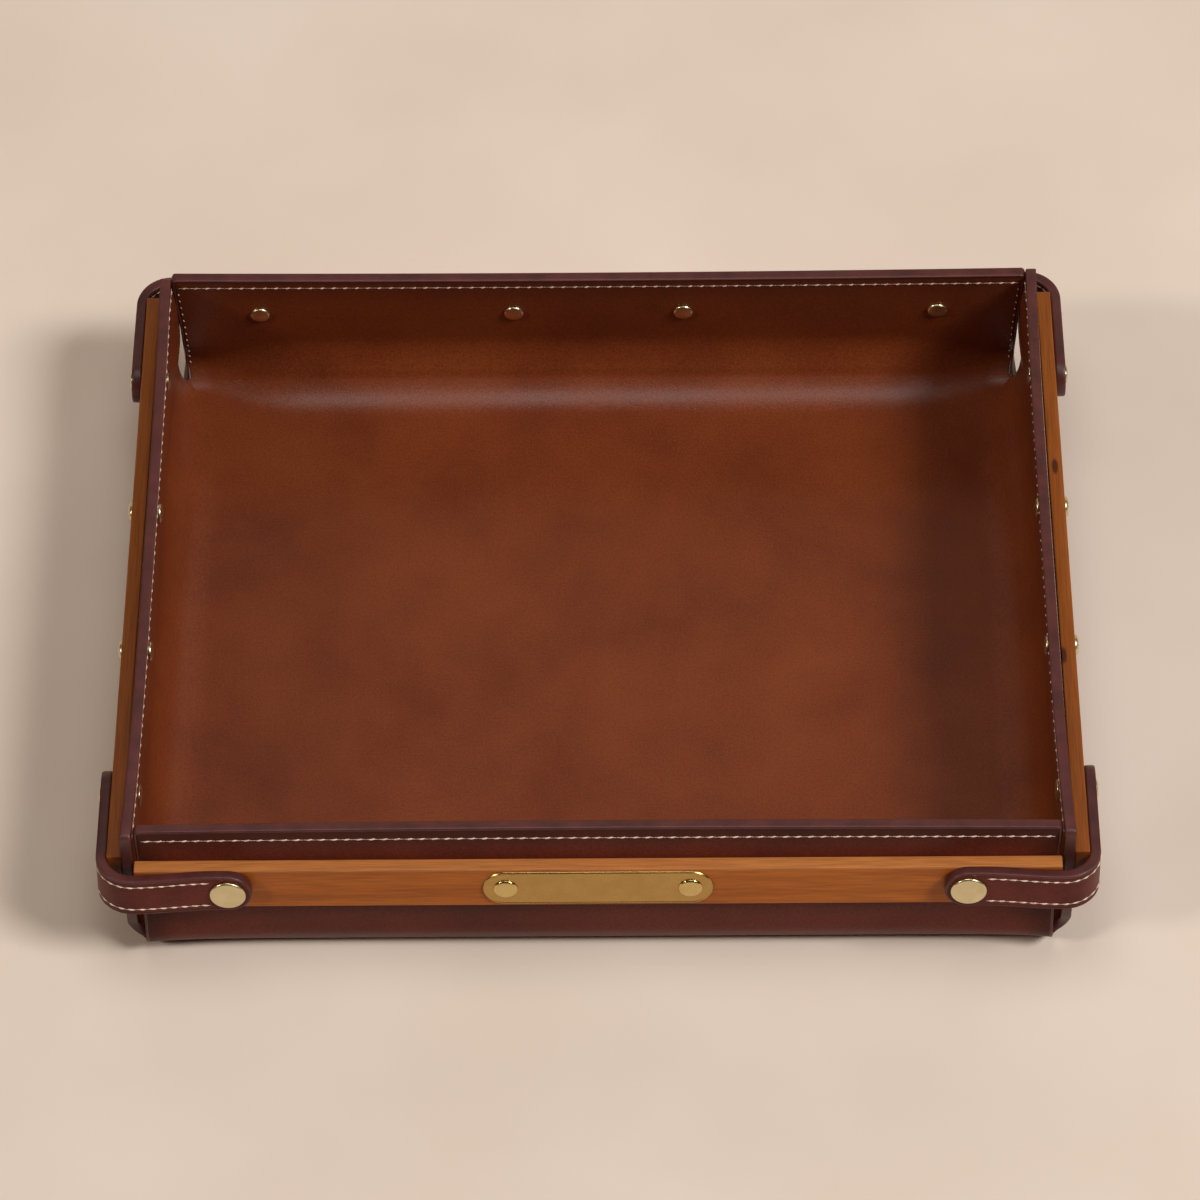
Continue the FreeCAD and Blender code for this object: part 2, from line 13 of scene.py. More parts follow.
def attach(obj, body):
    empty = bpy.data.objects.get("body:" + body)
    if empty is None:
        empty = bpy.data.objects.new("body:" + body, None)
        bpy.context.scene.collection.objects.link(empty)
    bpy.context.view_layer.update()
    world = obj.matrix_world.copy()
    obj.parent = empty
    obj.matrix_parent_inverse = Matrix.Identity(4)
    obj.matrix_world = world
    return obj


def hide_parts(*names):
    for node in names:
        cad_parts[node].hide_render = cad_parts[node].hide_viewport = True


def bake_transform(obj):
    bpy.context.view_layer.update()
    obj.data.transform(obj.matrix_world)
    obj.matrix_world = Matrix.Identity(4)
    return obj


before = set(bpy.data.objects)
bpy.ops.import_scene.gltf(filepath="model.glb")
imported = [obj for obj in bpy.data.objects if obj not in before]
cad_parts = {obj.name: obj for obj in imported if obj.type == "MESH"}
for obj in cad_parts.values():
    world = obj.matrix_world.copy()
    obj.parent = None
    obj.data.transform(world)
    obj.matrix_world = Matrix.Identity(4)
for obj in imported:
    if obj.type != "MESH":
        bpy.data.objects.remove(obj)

# A leather valet tray. Sizes here are in millimetres, and a mesh is turned to metres when it is made.
MM = 0.001
# Points nearer than this, in metres, become one when a piece is made.
MERGE = 2e-6
Array = np.ndarray
Colour = tuple[float, float, float, float]

log = logging.getLogger("valet_tray")


# Arrays and meshes

def smooth_step(value: Array, low: float, high: float) -> Array:
    """Rise from 0 at low to 1 at high as 3t^2 - 2t^3.

    Args:
        value: numbers to map.
        low: where the rise starts.
        high: where it ends.

    Returns:
        Shares between 0 and 1.
    """
    share = np.clip((np.asarray(value, float) - low) / (high - low), 0, 1)
    return share * share * (3 - 2 * share)


def squared_round(angle: Array, power: float) -> tuple[Array, Array]:
    """Cosine and sine raised to a power with their signs kept: a circle pressed towards a square.

    Args:
        angle: angles in radians.
        power: 1 for a circle, nearer 0 for a square with rounded corners.

    Returns:
        The two coordinates.
    """
    cosine, sine = np.cos(angle), np.sin(angle)
    return np.sign(cosine) * np.abs(cosine) ** power, np.sign(sine) * np.abs(sine) ** power


def grid_faces(rows: int, columns: int, ring_rows: bool = False, ring_columns: bool = False) -> Array:
    """Quads between neighbours of a grid of points that is stored row by row.

    Args:
        rows: number of rows.
        columns: number of columns.
        ring_rows: whether the last row joins the first.
        ring_columns: whether the last column joins the first.

    Returns:
        Point numbers, four to a face.
    """
    row = np.arange(rows if ring_rows else rows - 1)[:, None]
    column = np.arange(columns if ring_columns else columns - 1)[None, :]
    below, beside = (row + 1) % rows, (column + 1) % columns
    corners = (row * columns + column, row * columns + beside,
               below * columns + beside, below * columns + column)
    return np.stack([np.broadcast_to(c, (row.size, column.size)) for c in corners], -1).reshape(-1, 4)


@dataclass
class Surface:
    """Points with the quads between them, and named values kept at the points."""

    points: Array
    faces: Array
    values: dict[str, Array] = field(default_factory=dict)

    @classmethod
    def from_grid(cls, grid: Array, ring_rows: bool = False, ring_columns: bool = False,
                  **values: Array) -> "Surface":
        """A surface over a grid of points.

        Args:
            grid: points as rows, columns and coordinates.
            ring_rows: whether the last row joins the first.
            ring_columns: whether the last column joins the first.
            values: one number per grid point, under its name.

        Returns:
            The surface.
        """
        rows, columns = grid.shape[:2]
        kept = {name: np.broadcast_to(value, (rows, columns)).ravel() for name, value in values.items()}
        return cls(grid.reshape(-1, 3), grid_faces(rows, columns, ring_rows, ring_columns), kept)

    @classmethod
    def joined(cls, parts: list["Surface"]) -> "Surface":
        """Several surfaces as one, each keeping its own points.

        Args:
            parts: surfaces that hold the same named values.

        Returns:
            The one surface.
        """
        starts = np.cumsum([0] + [len(part.points) for part in parts[:-1]])
        return cls(
            np.concatenate([part.points for part in parts]),
            np.concatenate([part.faces + start for part, start in zip(parts, starts)]),
            {name: np.concatenate([part.values[name] for part in parts]) for name in parts[0].values},
        )

    def flipped(self, across_x: bool, across_y: bool) -> "Surface":
        """The surface mirrored across the tray's middle planes."""
        signs = np.array([-1 if across_x else 1, -1 if across_y else 1, 1])
        return Surface(self.points * signs, self.faces, self.values)


def thick(front: Surface, back: Surface) -> Surface:
    """A closed sheet: two like surfaces, with quads across each edge that only one face has.

    Points in one place, to a hundredth of a millimetre, count as one point, so seams stay open inside.

    Args:
        front: one side of the sheet.
        back: the other side, with the same faces in the same order.

    Returns:
        The closed surface.
    """
    _, spot = np.unique(np.round(front.points, 2), axis=0, return_inverse=True)
    edges = np.stack([front.faces, np.roll(front.faces, -1, axis=1)], -1).reshape(-1, 2)
    ends = np.sort(spot.ravel()[edges], axis=1)
    _, first, count = np.unique(ends, axis=0, return_index=True, return_counts=True)
    rim = edges[first[(count == 1) & (ends[first, 0] != ends[first, 1])]]
    size = len(front.points)
    walls = np.stack([rim[:, 1], rim[:, 0], rim[:, 0] + size, rim[:, 1] + size], -1)
    both = Surface.joined([front, Surface(back.points, back.faces[:, ::-1], back.values)])
    return Surface(both.points, np.concatenate([both.faces, walls]), both.values)


def make_piece(name: str, surface: Surface, material: bpy.types.Material) -> bpy.types.Object:
    """A mesh object at the origin from a surface in millimetres, its doubles merged and faces outward.

    Args:
        name: the piece's name.
        surface: points, faces and values.
        material: the finish.

    Returns:
        The object, in the scene.
    """
    mesh = bpy.data.meshes.new(name)
    mesh.from_pydata((surface.points * MM).tolist(), [], surface.faces.tolist())
    for key, value in surface.values.items():
        mesh.attributes.new(key, "FLOAT", "POINT").data.foreach_set("value", value.astype(np.float32))
    shape = bmesh.new()
    shape.from_mesh(mesh)
    bmesh.ops.remove_doubles(shape, verts=shape.verts, dist=MERGE)
    bmesh.ops.recalc_face_normals(shape, faces=shape.faces)
    shape.to_mesh(mesh)
    shape.free()
    mesh.polygons.foreach_set("use_smooth", np.ones(len(mesh.polygons), bool))
    mesh.materials.append(material)
    piece = bpy.data.objects.new(name, mesh)
    bpy.context.scene.collection.objects.link(piece)
    log.info("%s: %d faces", name, len(mesh.polygons))
    return piece


def settle(piece: bpy.types.Object, body: str, slot: str | None, *nodes: str) -> None:
    """Hide the CAD nodes that a piece replaces, and attach it to the body that it moves with.

    Args:
        piece: the piece.
        body: the body that it rides on.
        slot: not used.
        nodes: the CAD nodes that it replaces.
    """
    if nodes:
        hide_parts(*nodes)
    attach(piece, body)


# Materials

def linear(colour: str) -> Colour:
    """An sRGB hex colour as linear red, green, blue and alpha.

    Args:
        colour: six hex digits after a hash.

    Returns:
        The four numbers.
    """
    shares = [int(colour[start:start + 2], 16) / 255 for start in (1, 3, 5)]
    red, green, blue = (s / 12.92 if s <= 0.04045 else ((s + 0.055) / 1.055) ** 2.4 for s in shares)
    return red, green, blue, 1.0


def add_node(tree: bpy.types.NodeTree, kind: str, settings: dict | None = None,
             links: dict | None = None) -> bpy.types.Node:
    """Add a node with its settings and links.

    Args:
        tree: the tree that gets the node.
        kind: the node's type, without its ShaderNode prefix.
        settings: properties by name, socket values by socket name or number, and a ramp's "stops".
        links: output sockets by the name or number of the input that takes them.

    Returns:
        The node.
    """
    node = tree.nodes.new("ShaderNode" + kind)
    for key, value in (settings or {}).items():
        if key == "stops":
            ramp = node.color_ramp.elements
            while len(ramp) < len(value):
                ramp.new(1.0)
            for stop, (place, colour) in zip(ramp, value):
                stop.position = place
                stop.color = colour
        elif isinstance(key, int) or key in node.inputs:
            node.inputs[key].default_value = value
        else:
            setattr(node, key, value)
    for key, socket in (links or {}).items():
        tree.links.new(socket, node.inputs[key])
    return node


def new_material(name: str) -> tuple[bpy.types.Material, bpy.types.NodeTree, bpy.types.Node]:
    """An empty material with its shader.

    Args:
        name: what the material is.

    Returns:
        The material, its node tree and its shader node.
    """
    material = bpy.data.materials.new(name)
    material.use_nodes = True
    tree = material.node_tree
    tree.nodes.clear()
    shader = add_node(tree, "BsdfPrincipled")
    add_node(tree, "OutputMaterial", links={"Surface": shader.outputs["BSDF"]})
    return material, tree, shader


def per_metre(size: float) -> float:
    """The texture scale at which a pattern repeats about every so many millimetres."""
    return 1 / (size * MM)


class Lie(Enum):
    """Where a leather's pattern is read from."""

    SPACE = "Object"
    FLAT = "flat"


@dataclass(frozen=True)
class LeatherFinish:
    """Vegetable-tanned full-grain leather, drum-dyed and waxed.

    Dye takes unevenly, so tones drift over some centimetres. The grain is a fine pebble, and the wax
    gives a soft gloss. Near the edges, the stitching line included, the tone is darker: partly worn edges,
    partly painted shade.
    """

    name: str
    dark: str
    middle: str
    light: str
    drift: float
    grain: float
    roughness: float
    gloss: float
    lie: Lie
    # Share of tone left at an edge: the darkening there is partly worn edges, partly painted shade.
    rim: float

    def material(self) -> bpy.types.Material:
        """Tone follows slow noise through three colours, times fine specks and a darker rim that is partly
        painted shade. Cells and creases make the bump.

        Returns:
            The leather's material.
        """
        material, tree, shader = new_material(self.name)
        if self.lie is Lie.SPACE:
            place = add_node(tree, "TexCoord").outputs["Object"]
        else:
            flat = [add_node(tree, "Attribute", {"attribute_name": key}).outputs["Fac"]
                    for key in ("flat_long", "flat_wide")]
            place = add_node(tree, "CombineXYZ", links=dict(enumerate(flat))).outputs["Vector"]
        drift = add_node(tree, "TexNoise", {"Scale": per_metre(self.drift), "Detail": 4.0, "Roughness": 0.6},
                         {"Vector": place})
        tone = add_node(tree, "ValToRGB", {"stops": [
            (0.32, linear(self.dark)), (0.5, linear(self.middle)), (0.7, linear(self.light))]},
            {"Fac": drift.outputs["Fac"]})
        # Single pores are about 0.3 mm, drawn at three times that so that they show.
        speck = add_node(tree, "TexNoise", {"Scale": per_metre(0.9), "Detail": 3.0}, {"Vector": place})
        fleck = add_node(tree, "MapRange", {"From Min": 0.35, "From Max": 0.65, "To Min": 0.8, "To Max": 1.16},
                         {"Value": speck.outputs["Fac"]})
        # Darker within 16 mm of an edge: partly worn edges, partly painted shade.
        edge = add_node(tree, "Attribute", {"attribute_name": "edge_mm"})
        edge_wear_and_shade = add_node(tree, "MapRange", {"From Min": 1.0, "From Max": 16.0, "To Min": self.rim, "To Max": 1.0,
                                              "interpolation_type": "SMOOTHSTEP"}, {"Value": edge.outputs["Fac"]})
        shade = add_node(tree, "Math", {"operation": "MULTIPLY"},
                         {0: fleck.outputs["Result"], 1: edge_wear_and_shade.outputs["Result"]})
        colour = add_node(tree, "Mix", {"data_type": "RGBA", "blend_type": "MULTIPLY", 0: 1.0},
                          {6: tone.outputs["Color"], 7: shade.outputs["Value"]})
        cells = add_node(tree, "TexVoronoi", {"Scale": per_metre(self.grain), "feature": "SMOOTH_F1"},
                         {"Vector": place})
        creases = add_node(tree, "TexNoise", {"Scale": per_metre(4.0), "Detail": 5.0}, {"Vector": place})
        relief = add_node(tree, "Math", {"operation": "MULTIPLY_ADD", 1: 0.5},
                          {0: cells.outputs["Distance"], 2: creases.outputs["Fac"]})
        bump = add_node(tree, "Bump", {"Strength": 0.22, "Distance": 0.0003}, {"Height": relief.outputs["Value"]})
        gloss = add_node(tree, "MapRange", {"To Min": self.roughness - 0.08, "To Max": self.roughness + 0.1},
                         {"Value": drift.outputs["Fac"]})
        tree.links.new(colour.outputs[2], shader.inputs["Base Color"])
        tree.links.new(gloss.outputs["Result"], shader.inputs["Roughness"])
        tree.links.new(bump.outputs["Normal"], shader.inputs["Normal"])
        shader.inputs["IOR"].default_value = 1.5
        shader.inputs["Specular IOR Level"].default_value = self.gloss
        return material


@dataclass(frozen=True)
class EdgePaintFinish:
    """Leather edge paint, burnished: a smooth plum-brown film, glossy, a little uneven along its length."""

    name: str = "burnished_edge_paint"
    dark: str = "#431B18"
    light: str = "#572724"
    roughness: float = 0.42

    def material(self) -> bpy.types.Material:
        """Tone follows noise of some millimetres between two colours, and finer noise makes the bump.

        Returns:
            The edge paint's material.
        """
        material, tree, shader = new_material(self.name)
        place = add_node(tree, "TexCoord").outputs["Object"]
        drift = add_node(tree, "TexNoise", {"Scale": per_metre(9.0), "Detail": 4.0}, {"Vector": place})
        tone = add_node(tree, "ValToRGB", {"stops": [(0.3, linear(self.dark)), (0.7, linear(self.light))]},
                        {"Fac": drift.outputs["Fac"]})
        lumps = add_node(tree, "TexNoise", {"Scale": per_metre(2.2), "Detail": 2.0}, {"Vector": place})
        bump = add_node(tree, "Bump", {"Strength": 0.25, "Distance": 0.0004}, {"Height": lumps.outputs["Fac"]})
        tree.links.new(tone.outputs["Color"], shader.inputs["Base Color"])
        tree.links.new(bump.outputs["Normal"], shader.inputs["Normal"])
        shader.inputs["Roughness"].default_value = self.roughness
        return material


class Grain(Enum):
    """The axis along which a rail's wood grain runs."""

    ALONG_X = 0
    ALONG_Y = 1


@dataclass(frozen=True)
class CherryFinish:
    """Cherry, planed and oiled: fine straight grain, orange-brown, with small dark gum flecks and a satin film.

    The top band is painted a paler tone, as a painted sheen. Gum pockets, where there are any, are dark
    ovals, placed and measured in metres.
    """

    name: str
    grain: Grain
    dark: str
    middle: str
    light: str
    # The paler tone of the top band: a painted sheen.
    sheen_tone: str
    pockets: tuple[tuple[float, float, float], ...] = ()
    pocket_reach: tuple[float, float, float] = (0.0017, 0.0052, 0.0040)
    pocket_tone: str = "#3A160C"
    stretch: float = 34.0
    gum_share: float = 0.4

    def material(self) -> bpy.types.Material:
        """Tone follows noise stretched along the grain, times pores and gum flecks, and mixes with a paler tone
        along the top band, a painted sheen. A pocket is where the distance from its middle, over its reach, is under
        one.

        Returns:
            The wood's material.
        """
        material, tree, shader = new_material(self.name)
        place = add_node(tree, "TexCoord").outputs["Object"]
        shares = [1.0, 1.0, 1.0]
        shares[self.grain.value] = 1 / self.stretch
        along = add_node(tree, "Mapping", {"Scale": tuple(shares)}, {"Vector": place})
        rings = add_node(tree, "TexNoise", {"Scale": per_metre(5.0), "Detail": 6.0, "Roughness": 0.62,
                                            "Distortion": 0.4}, {"Vector": along.outputs["Vector"]})
        tone = add_node(tree, "ValToRGB", {"stops": [
            (0.3, linear(self.dark)), (0.5, linear(self.middle)), (0.72, linear(self.light))]},
            {"Fac": rings.outputs["Fac"]})
        # Pores are under 0.1 mm wide, drawn at half a millimetre so that they show.
        pores = add_node(tree, "TexNoise", {"Scale": per_metre(0.5), "Detail": 2.0},
                         {"Vector": along.outputs["Vector"]})
        streak = add_node(tree, "MapRange", {"From Min": 0.35, "From Max": 0.62, "To Min": 0.78, "To Max": 1.08},
                          {"Value": pores.outputs["Fac"]})
        shares[self.grain.value] = self.gum_share
        drawn = add_node(tree, "Mapping", {"Scale": tuple(shares)}, {"Vector": place})
        gum = add_node(tree, "TexVoronoi", {"Scale": per_metre(17.0), "Randomness": 1.0},
                       {"Vector": drawn.outputs["Vector"]})
        fleck = add_node(tree, "MapRange", {"From Min": 0.03, "From Max": 0.07, "To Min": 0.5, "To Max": 1.0},
                         {"Value": gum.outputs["Distance"]})
        shade = add_node(tree, "Math", {"operation": "MULTIPLY"},
                         {0: streak.outputs["Result"], 1: fleck.outputs["Result"]})
        # The top band mixes towards the paler tone: a painted sheen.
        worn = add_node(tree, "Math", {"operation": "MULTIPLY", 1: 0.4},
                        {0: add_node(tree, "Attribute", {"attribute_name": "worn"}).outputs["Fac"]})
        sheened = add_node(tree, "Mix", {"data_type": "RGBA", 7: linear(self.sheen_tone)},
                         {0: worn.outputs["Value"], 6: tone.outputs["Color"]})
        colour = add_node(tree, "Mix", {"data_type": "RGBA", "blend_type": "MULTIPLY", 0: 1.0},
                          {6: sheened.outputs[2], 7: shade.outputs["Value"]})
        for pocket in self.pockets:
            shifts = tuple(-part / reach for part, reach in zip(pocket, self.pocket_reach))
            sizes = tuple(1 / reach for reach in self.pocket_reach)
            near = add_node(tree, "Mapping", {"Location": shifts, "Scale": sizes}, {"Vector": place})
            away = add_node(tree, "VectorMath", {"operation": "LENGTH"}, {0: near.outputs["Vector"]})
            gummed = add_node(tree, "MapRange", {"From Min": 0.6, "From Max": 1.0, "To Min": 0.85, "To Max": 0.0},
                              {"Value": away.outputs["Value"]})
            colour = add_node(tree, "Mix", {"data_type": "RGBA", 7: linear(self.pocket_tone)},
                              {0: gummed.outputs["Result"], 6: colour.outputs[2]})
        bump = add_node(tree, "Bump", {"Strength": 0.2, "Distance": 0.0002}, {"Height": pores.outputs["Fac"]})
        tree.links.new(colour.outputs[2], shader.inputs["Base Color"])
        tree.links.new(bump.outputs["Normal"], shader.inputs["Normal"])
        shader.inputs["Roughness"].default_value = 0.45
        shader.inputs["Specular IOR Level"].default_value = 0.25
        return material


@dataclass(frozen=True)
class BrassFinish:
    """Brass sheet, stamped and brushed: fine scratches one way, and darker where air has tarnished it."""

    name: str
    bright: str
    tarnish: str
    roughness: float

    def material(self) -> bpy.types.Material:
        """Tone and gloss follow slow noise from tarnished to bright, and noise stretched one way makes the
        brush lines.

        Returns:
            The brass's material.
        """
        material, tree, shader = new_material(self.name)
        place = add_node(tree, "TexCoord").outputs["Object"]
        cloud = add_node(tree, "TexNoise", {"Scale": per_metre(7.0), "Detail": 4.0}, {"Vector": place})
        tone = add_node(tree, "ValToRGB", {"stops": [(0.3, linear(self.tarnish)), (0.65, linear(self.bright))]},
                        {"Fac": cloud.outputs["Fac"]})
        # Brush lines are some hundredths of a millimetre apart, drawn at a quarter so that they show.
        along = add_node(tree, "Mapping", {"Scale": (0.05, 1.0, 1.0)}, {"Vector": place})
        lines = add_node(tree, "TexNoise", {"Scale": per_metre(0.25), "Detail": 2.0},
                         {"Vector": along.outputs["Vector"]})
        bump = add_node(tree, "Bump", {"Strength": 0.12, "Distance": 0.0001}, {"Height": lines.outputs["Fac"]})
        gloss = add_node(tree, "MapRange", {"To Min": self.roughness - 0.04, "To Max": self.roughness + 0.06},
                         {"Value": cloud.outputs["Fac"]})
        tree.links.new(tone.outputs["Color"], shader.inputs["Base Color"])
        tree.links.new(gloss.outputs["Result"], shader.inputs["Roughness"])
        tree.links.new(bump.outputs["Normal"], shader.inputs["Normal"])
        shader.inputs["Metallic"].default_value = 1.0
        return material


@dataclass(frozen=True)
class ThreadFinish:
    """Waxed polyester thread, twisted from plies: cream, pink where the leather's dye rubs off on it, low sheen."""

    name: str
    light: str
    dark: str

    def material(self) -> bpy.types.Material:
        """Tone follows noise as fine as the twist, between two colours.

        Returns:
            The thread's material.
        """
        material, tree, shader = new_material(self.name)
        place = add_node(tree, "TexCoord").outputs["Object"]
        # The twist turns about once in 1.2 mm.
        twist = add_node(tree, "TexNoise", {"Scale": per_metre(1.2), "Detail": 2.0}, {"Vector": place})
        tone = add_node(tree, "ValToRGB", {"stops": [(0.35, linear(self.dark)), (0.55, linear(self.light))]},
                        {"Fac": twist.outputs["Fac"]})
        tree.links.new(tone.outputs["Color"], shader.inputs["Base Color"])
        shader.inputs["Roughness"].default_value = 0.55
        return material


@dataclass(frozen=True)
class FloorFinish:
    """A pale beige sweep, matt, with a slow drift of tone."""

    name: str = "pale_sweep"
    light: str = "#E4D3C3"
    dark: str = "#DDCBBA"

    def material(self) -> bpy.types.Material:
        """Tone follows slow noise between two colours.

        Returns:
            The sweep's material.
        """
        material, tree, shader = new_material(self.name)
        place = add_node(tree, "TexCoord").outputs["Object"]
        drift = add_node(tree, "TexNoise", {"Scale": per_metre(160.0), "Detail": 3.0}, {"Vector": place})
        tone = add_node(tree, "ValToRGB", {"stops": [(0.35, linear(self.dark)), (0.65, linear(self.light))]},
                        {"Fac": drift.outputs["Fac"]})
        tree.links.new(tone.outputs["Color"], shader.inputs["Base Color"])
        shader.inputs["Roughness"].default_value = 0.8
        return material


@dataclass(frozen=True)
class Finishes:
    """Every material of the tray."""

    outer: bpy.types.Material
    lining: bpy.types.Material
    strap: bpy.types.Material
    strap_back: bpy.types.Material
    edge: bpy.types.Material
    thread: bpy.types.Material
    inner_thread: bpy.types.Material
    cherry_x: bpy.types.Material
    cherry_y: bpy.types.Material
    aged_brass: bpy.types.Material
    bright_brass: bpy.types.Material
    pale_brass: bpy.types.Material

    @classmethod
    def made(cls) -> "Finishes":
        """Make each material once.

        Returns:
            The set.
        """
        return cls(
            # The outer leather's strong rim darkening paints shade onto the walls' upper parts.
            outer=LeatherFinish(
                "red_brown_bridle_leather", dark="#511F16", middle="#5D261B", light="#682C1F", drift=70.0, grain=1.0,
                roughness=0.4, gloss=0.15, lie=Lie.SPACE, rim=0.45).material(),
            lining=LeatherFinish(
                "chestnut_lining_leather", dark="#652B13", middle="#6F3114", light="#773615", drift=60.0, grain=0.9,
                roughness=0.36, gloss=0.4, lie=Lie.SPACE, rim=0.8).material(),
            strap=LeatherFinish(
                "red_brown_strap_leather", dark="#541F18", middle="#62281E", light="#6E3024", drift=25.0, grain=1.0,
                roughness=0.42, gloss=0.15, lie=Lie.FLAT, rim=0.85).material(),
            strap_back=LeatherFinish(
                "plain_strap_lining", dark="#5A2C18", middle="#6E3A1E", light="#80482A", drift=25.0, grain=1.2,
                roughness=0.55, gloss=0.2, lie=Lie.FLAT, rim=0.85).material(),
            edge=EdgePaintFinish().material(),
            thread=ThreadFinish("waxed_thread", light="#EBD6C4", dark="#C9A48F").material(),
            # The inside thread is pinker from the leather's dye, and darker, which is painted shade.
            inner_thread=ThreadFinish("dye_stained_thread_with_painted_shade", light="#DCBFB0", dark="#AE8677").material(),
            cherry_x=CherryFinish(
                "oiled_cherry_end_rails", Grain.ALONG_X, dark="#985016", middle="#AA5A17", light="#B2641E",
                sheen_tone="#BE8452").material(),
            # The side rails' cherry is a darker copy of the end rails' cherry: painted shade.
            cherry_y=CherryFinish(
                "oiled_cherry_side_rails_painted_shade", Grain.ALONG_Y, dark="#783A0C", middle="#8F480D", light="#9B5414",
                sheen_tone="#92521F", pockets=((0.1993, 0.052, 0.0612), (0.1972, -0.052, 0.0612))).material(),
            aged_brass=BrassFinish("aged_brass", bright="#BC985A", tarnish="#B49054", roughness=0.26).material(),
            bright_brass=BrassFinish("rubbed_brass", bright="#DABF80", tarnish="#CEB274", roughness=0.2).material(),
            pale_brass=BrassFinish("pale_brass", bright="#DED0A8", tarnish="#D2C296", roughness=0.28).material(),
        )


# Walls

@dataclass(frozen=True)
class Wall:
    """A wall's outer face, with places given along it, up it from the rails' top, and out of it."""

    turn: float
    half: float
    lean: float
    rail_top: float = 61.2

    def turned(self, along: Array, reach: Array, height: Array) -> Array:
        """Points from distances along the wall, outwards from the tray's middle, and above the table.

        Args:
            along: distance to the right of the wall's middle, seen from outside.
            reach: distance from the middle of the tray.
            height: distance above the table.

        Returns:
            Points, turned about the vertical to this wall's side.
        """
        angle = math.radians(self.turn)
        cosine, sine = math.cos(angle), math.sin(angle)
        along, reach, height = np.broadcast_arrays(along, reach, height)
        return np.stack([along * cosine + reach * sine, along * sine - reach * cosine, height], -1)

    def place(self, along: Array, up: Array, out: Array) -> Array:
        """Points on the leaning wall.

        Args:
            along: distance to the right of the wall's middle, seen from outside.
            up: distance up the wall from the rails' top.
            out: distance out of its outer face.

        Returns:
            The points.
        """
        lean = math.radians(self.lean)
        up, out = np.asarray(up, float), np.asarray(out, float)
        return self.turned(along, self.half - up * math.sin(lean) + out * math.cos(lean),
                           self.rail_top + up * math.cos(lean) + out * math.sin(lean))

    def axis(self, up: float, out: float) -> Array:
        """The direction up or out of the wall."""
        return self.place(0, up, out) - self.place(0, 0, 0)


FRONT = Wall(turn=0, half=155.5, lean=6.5)
RIGHT = Wall(turn=90, half=196.3, lean=1.5)
BACK = Wall(turn=180, half=155.5, lean=6.5)
LEFT = Wall(turn=-90, half=196.3, lean=1.5)
# In the order in which the outline goes round
WALLS = (FRONT, RIGHT, BACK, LEFT)
# Heights up a wall from the rails' top
RAIL_MIDDLE = -11.1
SNAP_LEVEL = -9.1
# Distances from a wall's middle
SNAP_X = 152.4
RIVET_X = 38.1
STRAP_RIVET_Y = 114.3
# Distance out of a wall to the straps' outer face, and two thicknesses
STRAP_FACE = 10.95
WALL_THICK = 4.5
RAIL_THICK = 6.35


# Stitching and painted edges

@dataclass(frozen=True)
class Stitch:
    """One stitch: a short thread, thickest in the middle, whose ends sink into the leather."""

    length: float
    width: float
    height: float
    slant: float
    proud: float
    rings: int = 6
    sides: int = 6
    fullness: float = 0.7

    def row(self, middles: Array, alongs: Array, outs: Array) -> Surface:
        """Stitches at given places.

        A stitch is a spindle: its radius is a half ellipse along its length, and its middle line stands
        proud of the leather in the middle and sinks by the square of the distance from there.

        Args:
            middles: the middle of each stitch, on the leather.
            alongs: the direction of the row at each.
            outs: the direction out of the leather at each.

        Returns:
            All the stitches as one surface.
        """
        share = -np.cos(np.linspace(0, math.pi, self.rings))[:, None]
        angle = np.linspace(0, math.tau, self.sides, endpoint=False)[None, :]
        swell = np.sqrt(1 - share ** 2) ** self.fullness
        long = share * self.length / 2 + 0 * angle
        wide = swell * np.cos(angle) * self.width / 2
        high = swell * np.sin(angle) * self.height / 2 + self.proud * (1 - 2 * share ** 2)
        outs = outs / np.linalg.norm(outs, axis=1, keepdims=True)
        alongs = alongs / np.linalg.norm(alongs, axis=1, keepdims=True)
        across = np.cross(outs, alongs)
        tilt = math.radians(self.slant)
        lines = alongs * math.cos(tilt) + across * math.sin(tilt)
        sides = across * math.cos(tilt) - alongs * math.sin(tilt)
        template = np.stack([long, wide, high], -1)
        points = middles[:, None, None, :] + np.einsum(
            "rsk,nkc->nrsc", template, np.stack([lines, sides, outs], 1))
        faces = grid_faces(self.rings, self.sides, ring_columns=True)
        starts = np.arange(len(middles))[:, None, None] * self.rings * self.sides
        return Surface(points.reshape(-1, 3), (faces[None] + starts).reshape(-1, 4))


@dataclass(frozen=True)
class EdgeProfile:
    """The section of a painted edge: flat, with rounded arrises, and keyed into the sheet below."""

    lap: float
    squareness: float
    proud: float
    key_half: float
    stations: int
    key: float = 0.4

    def section(self, thickness: float) -> tuple[Array, Array]:
        """The section's points: half of a squared circle, as wide as the sheet and a lap deep, and two below it.

        Args:
            thickness: of the sheet.

        Returns:
            Distances out past the sheet's edge, and depths in from its outer surface.
        """
        angle = np.concatenate([np.linspace(0, math.pi, self.stations), [math.pi * 1.25, math.pi * 1.75]])
        wide, deep = squared_round(angle, self.squareness)
        depth = thickness / 2 - (thickness / 2 + self.proud) * wide
        out = np.where(deep >= 0, self.lap * (deep - 1), -self.lap - self.key)
        return out, np.where(deep < 0, thickness / 2 - self.key_half * np.sign(wide), depth)


# Leather box

